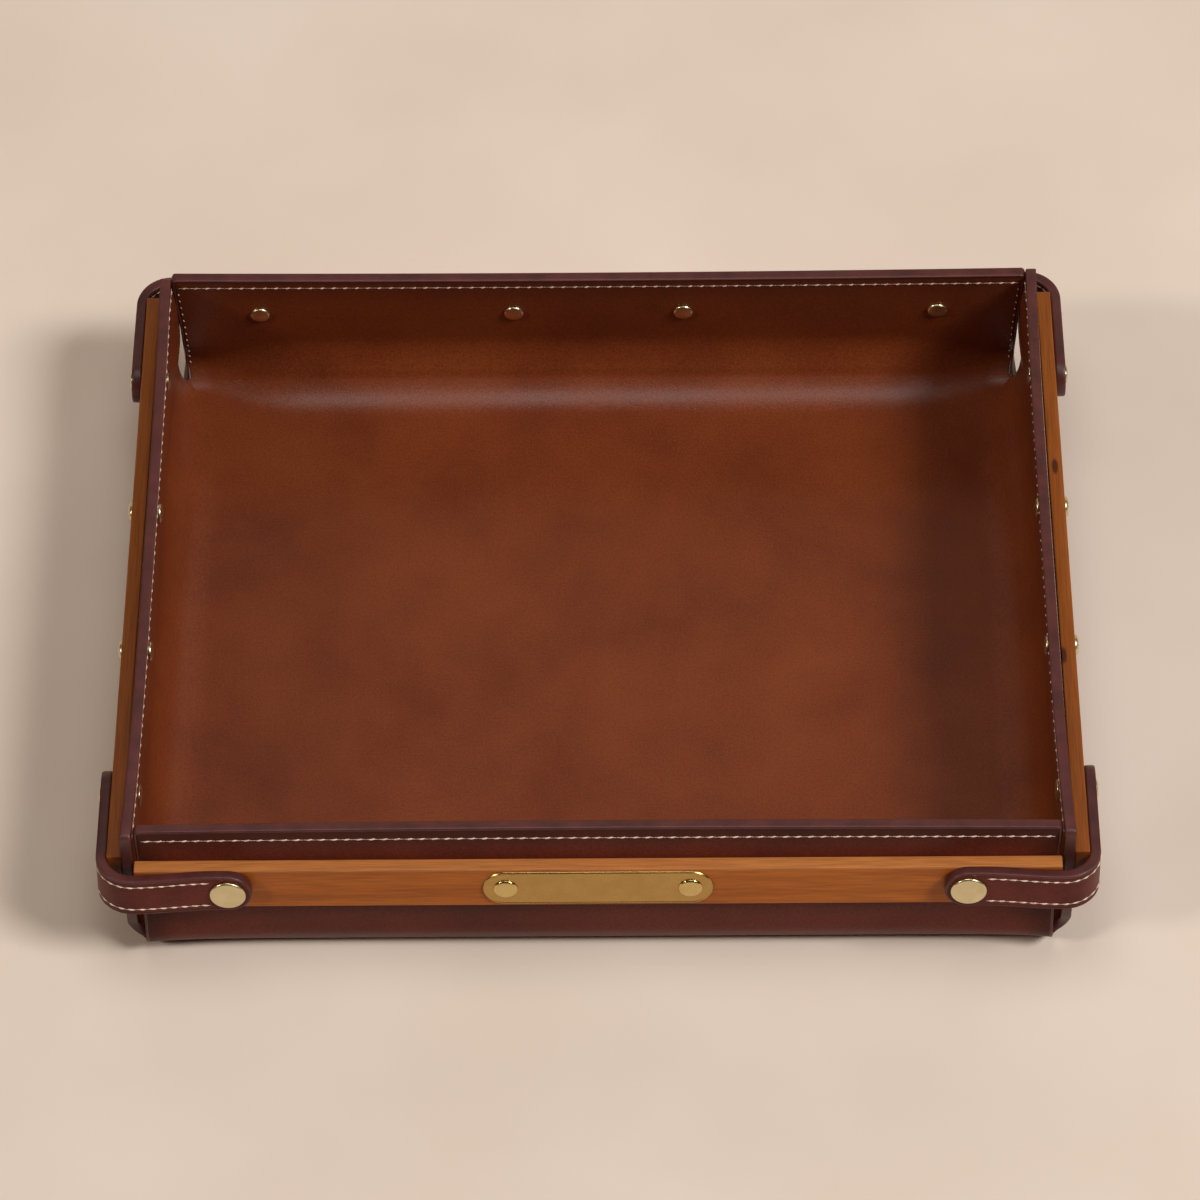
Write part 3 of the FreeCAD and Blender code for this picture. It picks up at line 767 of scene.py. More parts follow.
@dataclass
class LeatherBox:
    """The lined leather box: floor, folds and four walls, its painted edge and its stitching.

    Pairs are where a change along a run or a length starts and ends.
    """

    # Folds, walls and slits
    fold_radius: float = 16.0
    rim_height: float = 78.0
    ply: float = 2.2
    glue: float = 0.1
    end_low_half: float = 189.4
    end_rim_half: float = 190.5
    side_front: float = 156.4
    left_back_inset: float = 2.0
    right_back_inset: float = -0.3
    mitre_angle: float = 38.0
    root_radius: float = 1.2
    end_widening: float = 8.0
    side_widening: float = 22.0
    skew_fade: float = 12.0
    rim_corner: float = 2.2
    # The lining's gentler folds
    end_ease: float = 12.5
    side_ease: float = 10.0
    ease_start: float = 2.0
    ease_fade: float = 46.0
    # Sag of the rims, flare of the end walls' feet, and pinch of the side walls' back ends
    end_sag: float = 1.7
    end_sag_below: float = 18.0
    side_sag: float = 2.2
    side_sag_below: float = 26.0
    sag_past: float = 9.0
    foot_flare: float = 4.0
    foot_rise: float = 10.0
    foot_fade: tuple[float, float] = (24.0, 44.0)
    side_pinch: float = 2.6
    pinch_rise: tuple[float, float] = (14.0, 46.0)
    pinch_fade: float = 0.85
    pinch_fade_start: float = 62.0
    pinch_reach: tuple[float, float] = (130.0, 152.0)
    # Grid
    columns: int = 91
    side_columns: int = 73
    root_band: float = 3.0
    foot_band: float = 20.0
    # Edge
    edge_hold: float = 0.3
    edge_profile: EdgeProfile = EdgeProfile(lap=1.2, squareness=0.42, proud=0.07, key_half=1.6, stations=17)
    slit_fade: float = 2.0
    far_from_edge: float = 60.0
    # Stitching
    stitch_inset: float = 5.6
    stitch_pitch: float = 5.08
    row_end: float = 4.0
    end_inset: float = 2.4
    end_row_foot: float = 8.0
    probe: float = 0.5
    stitch: Stitch = Stitch(length=2.7, width=0.85, height=0.6, slant=11.0, proud=0.08)
    sunk_stitch: Stitch = Stitch(length=2.7, width=0.6, height=0.4, slant=11.0, proud=-0.12)
    knot: Stitch = Stitch(length=2.4, width=0.85, height=0.7, slant=18.0, proud=0.2)
    end_knot: Stitch = Stitch(length=1.5, width=0.6, height=0.45, slant=20.0, proud=0.1)
    lay: Stitch = Stitch(length=5.4, width=0.3, height=0.3, slant=0.0, proud=-0.06)

    def fold_start(self, wall: Wall) -> float:
        """Where the floor ends and the fold to a wall starts.

        It is the wall's plane at the fold axis's height, less the fold's radius over the cosine of the lean.

        Args:
            wall: the wall.

        Returns:
            Its distance from the middle of the tray.
        """
        lean = math.radians(wall.lean)
        rise = wall.rail_top - self.fold_radius
        return wall.half + rise * math.tan(lean) - self.fold_radius / math.cos(lean)

    def fold_run(self, wall: Wall) -> float:
        """Length of the fold's arc, on the outside."""
        return self.fold_radius * math.radians(90 + wall.lean)

    def rim_run(self, wall: Wall) -> float:
        """Length from the fold's start to the rim, on the outside: the arc, and the rest of the height over the
        cosine of the lean.

        Args:
            wall: the wall.

        Returns:
            The length.
        """
        lean = math.radians(wall.lean)
        fold_top = self.fold_radius * (1 + math.sin(lean))
        return self.fold_run(wall) + (self.rim_height - fold_top) / math.cos(lean)

    @staticmethod
    def is_end(wall: Wall) -> bool:
        """Whether a wall is the front or the back one."""
        return wall in (FRONT, BACK)

    def root_run(self) -> float:
        """Run at which a corner slit starts."""
        return self.fold_radius * math.radians(self.mitre_angle)

    def full_length(self, wall: Wall, side: int, run: Array) -> Array:
        """How far a wall reaches to one side above its slit.

        An end wall stops short of the side walls' insides, and widens a little over its upper half. A side
        wall's front end passes the front wall, and its back end keeps its own inset from the back wall's
        leaning outside.

        Args:
            wall: the wall.
            side: -1 for its left end, 1 for its right, seen from outside.
            run: distance up from the fold's start.

        Returns:
            Distances from the wall's middle.
        """
        share = np.asarray(run, float) / self.rim_run(wall)
        if self.is_end(wall):
            return self.end_low_half + (self.end_rim_half - self.end_low_half) * smooth_step(share, 0.5, 1)
        if (side > 0) == (wall is RIGHT):
            rise = share * self.rim_height - BACK.rail_top
            inset = self.right_back_inset if wall is RIGHT else self.left_back_inset
            return BACK.half - rise * math.tan(math.radians(BACK.lean)) - inset
        return self.side_front + 0 * share

    def half_length(self, wall: Wall, side: int, run: Array) -> Array:
        """A wall's reach to one side at a run up it from the fold.

        Along the fold it grows as the fold reaches out, so that neighbours meet on a mitre. From the
        slit's root it follows a small arc, then widens to the wall's full length, and at the rim a
        quarter circle takes off the corner.

        Args:
            wall: the wall.
            side: -1 for its left end, 1 for its right, seen from outside.
            run: distance up from the fold's start, on the outside.

        Returns:
            Distances from the wall's middle.
        """
        run = np.asarray(run, float)
        other = RIGHT if self.is_end(wall) else FRONT
        middle = self.fold_radius - WALL_THICK / 2
        start = self.fold_start(other)
        reach = middle * np.sin(np.minimum(run / self.fold_radius, math.pi / 2))
        root = middle * math.sin(math.radians(self.mitre_angle))
        neck = root - self.root_radius * (1 - math.sqrt(0.5))
        level = np.clip((neck + self.root_radius - reach) / self.root_radius, 0, 1)
        arc = self.root_radius * (1 - np.sqrt(1 - level ** 2))
        widens = self.end_widening if self.is_end(wall) else self.side_widening
        widening = smooth_step(run, self.root_run(), self.root_run() + widens)
        open_half = (start + neck + arc) * (1 - widening) + self.full_length(wall, side, run) * widening
        over = np.clip((run - self.rim_run(wall) + self.rim_corner) / self.rim_corner, 0, 1)
        corner = self.rim_corner * (1 - np.sqrt(1 - over ** 2))
        return np.where(run < self.root_run(), start + reach, open_half) - corner

    def rounded(self, wall: Wall, path: Array, beside: Array, depth: Array) -> tuple[Array, Array]:
        """How the lining rounds a fold: on a larger circle than the outer sheet, tangent to floor and wall.

        The circle's radius grows by an amount that dies away as a sine towards the corner slits. The growth
        times the tangent of half the turn is how much sooner the bend starts and how much later it ends.
        Along the bend the angle is in proportion to the path.

        Args:
            wall: the wall the fold leads to.
            path: distance along the sheet from the fold's start, negative on the floor.
            beside: distance to the other fold's start, along this fold.
            depth: distance in from the outer surface.

        Returns:
            Moves outwards from the tray's middle and upwards, from the plain fold.
        """
        turn = math.radians(90 + wall.lean)
        lean = math.radians(wall.lean)
        ease = self.end_ease if self.is_end(wall) else self.side_ease
        grown = np.clip((beside - self.ease_start) / self.ease_fade, 0, 1)
        growth = ease * np.sin(grown * math.pi / 2)
        sooner = growth * math.tan(turn / 2)
        radius = self.fold_radius - depth
        plain = np.clip(path / radius, 0, turn)
        beyond = np.maximum(path - radius * turn, 0)
        angle = (path + sooner) / (2 * sooner + radius * turn) * turn
        bent = (angle > 0) & (angle < turn)
        angle = np.clip(angle, 0, turn)
        reach = -sooner + (radius + growth) * np.sin(angle)
        height = (radius + growth) * (1 - np.cos(angle))
        plain_reach = np.minimum(path, 0) + radius * np.sin(plain) - beyond * math.sin(lean)
        plain_height = radius * (1 - np.cos(plain)) + beyond * math.cos(lean)
        return np.where(bent, reach - plain_reach, 0), np.where(bent, height - plain_height, 0)

    def skew(self, run: Array) -> Array:
        """How much longer the fold's mitre is per millimetre nearer the outside, fading above the root."""
        angle = np.minimum(np.asarray(run, float) / self.fold_radius, math.radians(self.mitre_angle))
        return np.sin(angle) * (1 - smooth_step(run, self.root_run(), self.root_run() + self.skew_fade))

    def swell(self, wall: Wall, along: Array, run: Array) -> Array:
        """How far a wall stands out of its plane.

        Every rim sags in between its corners. The end walls' feet flare at the corners, and the straps pinch
        the side walls' back ends in at the rails' height.

        Args:
            wall: the wall.
            along: distance from the wall's middle.
            run: distance up from the fold's start.

        Returns:
            Distances outwards.
        """
        along, run = np.asarray(along, float), np.asarray(run, float)
        below = self.end_sag_below if self.is_end(wall) else self.side_sag_below
        rim = smooth_step(run, self.rim_run(wall) - below, self.rim_run(wall) + self.sag_past)
        if self.is_end(wall):
            share = np.abs(along) / RIGHT.half
            foot = smooth_step(run, self.root_run(), self.root_run() + self.foot_rise)
            foot = foot * (1 - smooth_step(run, *self.foot_fade))
            return foot * (self.foot_flare * share ** 8 - 1) - self.end_sag * rim * (1 - share ** 2)
        share = np.minimum(np.abs(along) / FRONT.half, 1)
        back = smooth_step(along if wall is RIGHT else -along, *self.pinch_reach)
        loosened = self.pinch_fade * smooth_step(run, self.pinch_fade_start, self.rim_run(wall))
        held = smooth_step(run, *self.pinch_rise) * (1 - loosened)
        return -self.side_sag * rim * (1 - share ** 4) - self.side_pinch * held * back

    def at(self, wall: Wall, along: Array, run: Array, depth: Array, dished: bool = False) -> Array:
        """Points of the folded sheet.

        On the fold a point turns about the fold's axis, and above it goes straight up the leaning wall.

        Args:
            wall: the wall.
            along: distance from the wall's middle, as on mid-sheet.
            run: distance up from the fold's start, as on the outside.
            depth: distance in from the outer surface.
            dished: whether the sheet rounds the fold as the lining does.

        Returns:
            The points.
        """
        along, run, depth = np.broadcast_arrays(*(np.asarray(v, float) for v in (along, run, depth)))
        top = math.radians(90 + wall.lean)
        lean = math.radians(wall.lean)
        angle = np.clip(run / self.fold_radius, 0, top)
        straight = np.maximum(run - self.fold_radius * top, 0)
        radius = self.fold_radius - depth
        reach = self.fold_start(wall) + radius * np.sin(angle) - straight * math.sin(lean)
        height = self.fold_radius - radius * np.cos(angle) + straight * math.cos(lean)
        start = self.fold_start(RIGHT if self.is_end(wall) else FRONT)
        stretch = 1 + (WALL_THICK / 2 - depth) * self.skew(run) / start
        if dished:
            fold = self.fold_run(wall)
            path = np.minimum(run, fold) * (1 - depth / self.fold_radius) + np.maximum(run - fold, 0)
            moved, raised = self.rounded(wall, path, start - np.abs(along), depth)
            reach, height = reach + moved, height + raised
        return wall.turned(along * stretch, reach + self.swell(wall, along, run), height)

    def rows(self, wall: Wall, inset: float) -> Array:
        """Runs of a wall's grid rows, closer where the outline bends.

        Args:
            wall: the wall.
            inset: how far below the rim the last row lies.

        Returns:
            Distances up from the fold's start.
        """
        root, fold, rim = self.root_run(), self.fold_run(wall), self.rim_run(wall)
        corner = np.sin(np.linspace(0, math.pi / 2, 6)) * (self.rim_corner - inset)
        return np.concatenate([
            np.linspace(0, root, 7)[:-1],
            np.linspace(root, root + self.root_band, 7)[:-1],
            np.linspace(root + self.root_band, fold, 11)[:-1],
            np.linspace(fold, fold + self.foot_band, 12)[:-1],
            np.linspace(fold + self.foot_band, rim - self.rim_corner, 16)[:-1],
            rim - self.rim_corner + corner,
        ])

    def face(self, depth: float, dished: bool) -> Surface:
        """The whole sheet at one depth: the floor and four walls, meeting on the folds and mitres.

        Args:
            depth: distance in from the outer surface.
            dished: whether the sheet rounds the folds as the lining does.

        Returns:
            The open surface, with each point's distance from the sheet's edge.
        """
        # Cells are half as wide at the folds as in the middle.
        across, beside = (0.5 + np.linspace(-0.5, 0.5, count) * (1.25 - np.linspace(-0.5, 0.5, count) ** 2)
                          for count in (self.columns, self.side_columns))
        half_x, half_y = self.fold_start(RIGHT), self.fold_start(FRONT)
        x, y = np.meshgrid((2 * across - 1) * half_x, (2 * beside - 1) * half_y)
        floor = np.stack([x, y, np.full_like(x, depth)], -1)
        if dished:
            over_y, up_y = self.rounded(FRONT, np.abs(y) - half_y, half_x - np.abs(x), depth)
            over_x, up_x = self.rounded(RIGHT, np.abs(x) - half_x, half_y - np.abs(y), depth)
            floor += np.stack([over_x * np.sign(x), over_y * np.sign(y), up_x + up_y], -1)
        parts = [Surface.from_grid(floor, edge_mm=np.full_like(x, self.far_from_edge))]
        for wall in WALLS:
            shares = (across if self.is_end(wall) else beside)[None, :]
            run = self.rows(wall, self.edge_hold)[:, None]
            opened = smooth_step(run, self.root_run(), self.root_run() + self.slit_fade)
            left, right = (self.half_length(wall, side, run) - self.edge_hold * opened for side in (-1, 1))
            along = -left + (left + right) * shares
            ends = np.minimum(along + left, right - along) + self.far_from_edge * (1 - opened)
            parts.append(Surface.from_grid(self.at(wall, along, run, depth, dished),
                                           edge_mm=np.minimum(ends, self.rim_run(wall) - run)))
        return Surface.joined(parts)

    def outline(self, wall: Wall) -> tuple[Array, Array]:
        """A wall's edge from the slit's root at its left, over the rim, to the root at its right.

        Args:
            wall: the wall.

        Returns:
            Distances along, and runs.
        """
        root, fold, rim = self.root_run(), self.fold_run(wall), self.rim_run(wall)
        turn = np.sin(np.linspace(0, math.pi / 2, 7)) * self.rim_corner
        run = np.concatenate([
            np.linspace(root, root + self.root_band, 9)[:-1],
            np.linspace(root + self.root_band, fold, 9)[:-1],
            np.linspace(fold, rim - self.rim_corner, 15)[:-1],
            rim - self.rim_corner + turn,
        ])
        left, right = (self.half_length(wall, side, run) for side in (-1, 1))
        top = np.linspace(-left[-1], right[-1], 61)[1:-1]
        return (np.concatenate([-left, top, right[::-1]]),
                np.concatenate([run, np.full(top.shape, rim), run[::-1]]))

    def edge(self) -> Surface:
        """The painted edge: its profile carried round the whole outline.

        At each point of the outline the profile stands square to the outline on the folded sheet.

        Returns:
            The closed tube.
        """
        out, depth = self.edge_profile.section(WALL_THICK)
        rings = []
        for wall in WALLS:
            along, run = self.outline(wall)
            slope = np.gradient(along), np.gradient(run)
            size = np.hypot(*slope)
            aside, up = -slope[1] / size, slope[0] / size
            rings.append(self.at(wall, along[:, None] + aside[:, None] * out,
                                 run[:, None] + up[:, None] * out, depth[None, :]))
        return Surface.from_grid(np.concatenate(rings), ring_rows=True, ring_columns=True)

    def stitch_rows(self, inside: bool) -> Surface:
        """Stitches along each rim, over a thin thread that dips between: long ones outside, short knots inside.

        The end walls also have small knots down both ends, inside. The side walls' outside stitches are pulled
        down into the leather.

        Args:
            inside: whether these are the rows inside the tray.

        Returns:
            All the rows as one surface.
        """
        parts = []
        for wall in WALLS:
            level = self.rim_run(wall) - self.stitch_inset
            left, right = (float(self.half_length(wall, side, level)) - self.row_end - self.stitch.length / 2
                           for side in (-1, 1))
            along = np.linspace(-left, right, int((left + right) / self.stitch_pitch) + 1)
            rim = np.stack([along, np.full(along.shape, level)])
            outside = self.stitch if self.is_end(wall) else self.sunk_stitch
            rows = [(rim, 0.0, outside, (1, 0)), (rim, 0.0, self.lay, (1, 0))]
            if inside:
                rows = [(rim, WALL_THICK, self.knot, (-1, 0)), (rim, WALL_THICK, self.lay, (-1, 0))]
            if inside and self.is_end(wall):
                foot = self.fold_run(wall) - self.end_row_foot
                run = np.arange(level - self.stitch_pitch, foot, -self.stitch_pitch)
                for side in (-1, 1):
                    end = np.stack([side * (self.half_length(wall, side, run) - self.end_inset), run])
                    rows.append((end, WALL_THICK, self.end_knot, (0, 1)))
            for (across, up), depth, stitch, ahead in rows:
                points = self.at(wall, across, up, depth)
                onward = self.at(wall, across + self.probe * ahead[0], up + self.probe * ahead[1], depth) - points
                middle = self.at(wall, across, up, WALL_THICK / 2)
                parts.append(stitch.row(points, onward, points - middle))
        return Surface.joined(parts)

    def build(self, finishes: Finishes) -> None:
        """Make and dress the box's pieces.

        Args:
            finishes: the tray's materials.
        """
        lining_start = self.ply + self.glue
        plies = (
            ("outer_sheet", 0.0, self.ply, False, finishes.outer, "outer_leather"),
            ("lining_sheet", lining_start, WALL_THICK, True, finishes.lining, "lining_leather"),
        )
        for name, outside, inside, dished, finish, node in plies:
            piece = make_piece(name, thick(self.face(outside, dished), self.face(inside, dished)), finish)
            settle(piece, "tray", node, node)
        trim = (
            ("box_edge_paint", self.edge(), finishes.edge, "outer_leather"),
            ("rim_stitching", self.stitch_rows(False), finishes.thread, None),
            ("inner_rim_stitching", self.stitch_rows(True), finishes.inner_thread, None),
        )
        for name, surface, finish, slot in trim:
            settle(make_piece(name, surface, finish), "tray", slot)


# Rails and nameplate

@dataclass
class Rails:
    """The four cherry rails, and the brass plate on the front one."""

    rail_height: float = 22.2
    end_rail_half: float = 191.0
    side_rail_half: float = 154.0
    ease: float = 0.7
    support: float = 0.8
    end_ring: float = 0.85
    # Heights off the rail's top over which its top band is painted paler: a painted sheen.
    sheen_band: tuple[float, float] = (-1.4, -0.3)
    plate_radius: float = 9.5
    # Insets from the outline and heights off the rail: back edge, bevel, raised rim, and face
    plate_steps: tuple[tuple[float, float], ...] = (
        (0.15, 0.0), (0.0, 0.04), (0.0, 0.08), (0.04, 0.14), (0.3, 0.75), (0.4, 0.8), (0.7, 0.8), (0.8, 0.77),
        (1.0, 0.65), (1.1, 0.62), (1.6, 0.62))
    plate_sides: int = 72

    def rail(self, wall: Wall, half: float) -> Surface:
        """A rail: a bar with eased arrises.

        Its section is a rectangle with quarter circles at the corners, and towards each end the section
        shrinks along one more quarter circle, then closes on its middle.

        Args:
            wall: the wall that carries it.
            half: half its length.

        Returns:
            The closed surface.
        """
        turn = np.linspace(0, math.pi / 2, 6)
        quarter = np.arange(4)[:, None] * math.pi / 2
        sign_up = np.sign(np.cos(quarter + math.pi / 4))
        sign_out = np.sign(np.sin(quarter + math.pi / 4))
        slack = np.concatenate([[1.0], 0 * turn, [1.0]])
        arc = np.concatenate([turn[:1], turn, turn[-1:]])[None, :] + quarter
        before = np.concatenate([[1.0], 0 * turn, [0.0]])
        lead = (before - (slack - before))[None, :]
        ring_up = (sign_up, np.cos(arc), np.sin(arc) * lead)
        ring_out = (sign_out, np.sin(arc), -np.cos(arc) * lead)
        inset = self.ease * np.concatenate([[1.0] * 2, 1 - np.cos(turn[::-1]), 1 - np.cos(turn), [1.0] * 2])
        tip = half - self.ease * (1 - np.sin(turn))
        along = np.concatenate([[-half] * 2, -tip[::-1], tip, [half] * 2])
        scale = np.concatenate([[0.0, self.end_ring], np.ones(2 * len(turn)), [self.end_ring, 0.0]])

        def section(parts: tuple[Array, Array, Array], size: float) -> Array:
            """One coordinate of every ring's points: the corner's middle, and the ease round it.

            Args:
                parts: signs of the corners, the ease's direction, and the direction to the supporting points.
                size: of the section, this way.

            Returns:
                Distances from the section's middle, ring by ring.
            """
            sign, round_, support = (part.ravel() if part.size > 4 else np.repeat(part.ravel(), len(slack))
                                     for part in parts)
            flat = sign * (size / 2 - self.ease) + support * self.support
            return scale[:, None] * (flat + (self.ease - inset[:, None]) * round_)

        up = section(ring_up, self.rail_height) - self.rail_height / 2
        out = section(ring_out, RAIL_THICK) + RAIL_THICK / 2
        # Each point gets its share of the paler top band, a painted sheen.
        return Surface.from_grid(wall.place(along[:, None] + 0 * up, up, out), ring_columns=True,
                                 worn=smooth_step(up, *self.sheen_band))

    def plate(self) -> Surface:
        """The nameplate: rings round a straight line, each a stadium, from the back's middle over the
        bevel and the raised rim to the front's middle.

        Returns:
            The closed surface.
        """
        face = self.plate_steps[-1][1]
        inset, height = np.array([(self.plate_radius, 0.0), *self.plate_steps, (self.plate_radius, face)]).T
        angle = np.linspace(0, math.tau, self.plate_sides, endpoint=False) + math.pi / self.plate_sides
        ends = np.where(np.cos(angle) > 0, RIVET_X, -RIVET_X)
        radius = (self.plate_radius - inset)[:, None]
        along = ends[None, :] + radius * np.cos(angle)
        up = RAIL_MIDDLE + radius * np.sin(angle)
        out = RAIL_THICK + height[:, None]
        return Surface.from_grid(FRONT.place(along, up, out), ring_columns=True)

    def build(self, finishes: Finishes) -> None:
        """Make and dress the rails and the plate.

        Args:
            finishes: the tray's materials.
        """
        for side, wall, half, finish in (("front", FRONT, self.end_rail_half, finishes.cherry_x),
                                         ("back", BACK, self.end_rail_half, finishes.cherry_x),
                                         ("left", LEFT, self.side_rail_half, finishes.cherry_y),
                                         ("right", RIGHT, self.side_rail_half, finishes.cherry_y)):
            piece = make_piece(f"{side}_cherry_rail", self.rail(wall, half), finish)
            settle(piece, "tray", "cherry", f"{side}_rail")
        settle(make_piece("brass_plate", self.plate(), finishes.aged_brass), "tray", "aged_brass", "nameplate")


# Fasteners

def turned(wall: Wall, spots: list[tuple[float, float]], seat: float, outwards: bool,
           profile: Sequence[tuple[float, float]], sides: int = 32) -> Surface:
    """Pieces turned about an axis square to a wall: a profile of radii and heights, carried round.

    Args:
        wall: the wall.
        spots: places along and up the wall.
        seat: how far out of the wall height zero lies.
        outwards: whether heights run out of the wall or into the tray.
        profile: radii and heights, from axis to axis.
        sides: points round the axis.

    Returns:
        All the pieces as one surface.
    """
    radius, height = np.array(profile).T
    angle = np.linspace(0, math.tau, sides, endpoint=False)
    out = seat + height[:, None] * (1 if outwards else -1) + 0 * angle
    parts = [Surface.from_grid(wall.place(along + radius[:, None] * np.cos(angle),
                                          up + radius[:, None] * np.sin(angle), out), ring_columns=True)
             for along, up in spots]
    return Surface.joined(parts)


# A head's crown: its share of the radius, and the most that it falls as a share of the height
CROWN_SHARE = 0.66
CROWN_FALL = 0.4
# A head's edge: the angles between which it turns down, and its foot's shares of the height and the radius
HEAD_TURN = (0.25, 1.57)
FOOT_SHARE = 0.2
UNDER_SHARE = 0.98
SHANK_RADIUS = 1.8


def dome(radius: float, height: float, shank: float, crown: float = 0.55) -> list[tuple[float, float]]:
    """A rivet's profile: a low crown that turns down by a quarter ellipse, and a shank below.

    Args:
        radius: of the head.
        height: of the head.
        shank: length of the shank.
        crown: how flat the crown is, 1 for flat.

    Returns:
        Radii and heights.
    """
    fall = (1 - crown) * CROWN_FALL
    crowned = [(radius * CROWN_SHARE * share, height * (1 - fall * share ** 2)) for share in np.linspace(0, 1, 6)]
    turn = [(radius * (CROWN_SHARE + (1 - CROWN_SHARE) * math.sin(angle)),
             height * (1 - fall) * (FOOT_SHARE + (1 - FOOT_SHARE) * math.cos(angle)))
            for angle in np.linspace(*HEAD_TURN, 7)]
    foot = [(radius * UNDER_SHARE, 0.0), (SHANK_RADIUS, 0.0), (SHANK_RADIUS, -shank), (0.0, -shank)]
    return crowned + turn + foot


@dataclass
class Fasteners:
    """Rivets, caps, studs and posts that hold rails, plate and straps to the walls."""

    head_radius: float = 4.8
    head_height: float = 1.1
    cap_radius: float = 4.6
    cap_height: float = 1.9
    side_head_height: float = 2.4
    shank: float = 0.8
    plate_head_radius: float = 5.0
    plate_head_height: float = 1.3
    plate_shank: float = 0.6
    plate_face: float = 0.6
    strap_rivet_radius: float = 4.5
    strap_rivet_height: float = 1.4
    strap_shank: float = 1.0
    strap_crown: float = 0.7
    # Radii and heights: a ball with a neck on a flange
    stud: tuple[tuple[float, float], ...] = (
        (0.0, 3.35), (1.6, 3.35), (2.6, 3.2), (3.3, 2.75), (3.45, 2.3), (3.2, 1.8), (2.7, 1.45), (2.7, 0.75),
        (3.6, 0.62), (3.8, 0.4), (3.8, 0.0), (0.0, 0.0))

    @staticmethod
    def pair(along: float, up: float) -> list[tuple[float, float]]:
        """The same place either side of a wall's middle."""
        return [(-along, up), (along, up)]

    def build(self, finishes: Finishes) -> None:
        """Make and dress the fasteners.

        Args:
            finishes: the tray's materials.
        """
        head = dome(self.head_radius, self.head_height, self.shank)
        cap = dome(self.cap_radius, self.cap_height, self.shank)
        side_head = dome(self.cap_radius, self.side_head_height, self.shank)
        plate_head = dome(self.plate_head_radius, self.plate_head_height, self.plate_shank)
        strap_head = dome(self.strap_rivet_radius, self.strap_rivet_height, self.strap_shank, self.strap_crown)
        middle, raised = self.pair(RIVET_X, RAIL_MIDDLE), self.pair(RIVET_X, SNAP_LEVEL)
        straps, snaps = self.pair(STRAP_RIVET_Y, RAIL_MIDDLE), self.pair(SNAP_X, SNAP_LEVEL)
        aged, pale = (finishes.aged_brass, "aged_brass"), (finishes.pale_brass, "pale_brass")
        bright = (finishes.bright_brass, "aged_brass")
        inside = -WALL_THICK
        jobs = [
            ("front_plate_rivets", FRONT, middle, RAIL_THICK + self.plate_face, True, plate_head, bright),
            ("front_plate_rivet_caps", FRONT, middle, inside, False, cap, pale),
            ("back_rail_rivets", BACK, raised, RAIL_THICK, True, cap, aged),
            ("back_rail_rivet_caps", BACK, raised, inside, False, cap, pale),
        ]
        for side, wall in (("left", LEFT), ("right", RIGHT)):
            jobs += [
                (f"{side}_rail_rivets", wall, middle, RAIL_THICK, True, side_head, pale),
                (f"{side}_rail_rivet_caps", wall, middle, inside, False, cap, pale),
                (f"{side}_strap_rivets", wall, straps, STRAP_FACE, True, strap_head, pale),
                (f"{side}_strap_rivet_caps", wall, straps, inside, False, head, pale),
            ]
        for side, wall in (("front", FRONT), ("back", BACK)):
            jobs += [
                (f"{side}_snap_studs", wall, snaps, RAIL_THICK, True, self.stud, pale),
                (f"{side}_stud_posts", wall, snaps, inside, False, cap, pale),
            ]
        for node, wall, spots, seat, outwards, profile, (finish, slot) in jobs:
            piece = make_piece(f"turned_{node}", turned(wall, spots, seat, outwards, profile), finish)
            settle(piece, "tray", slot, node)


# Corner straps

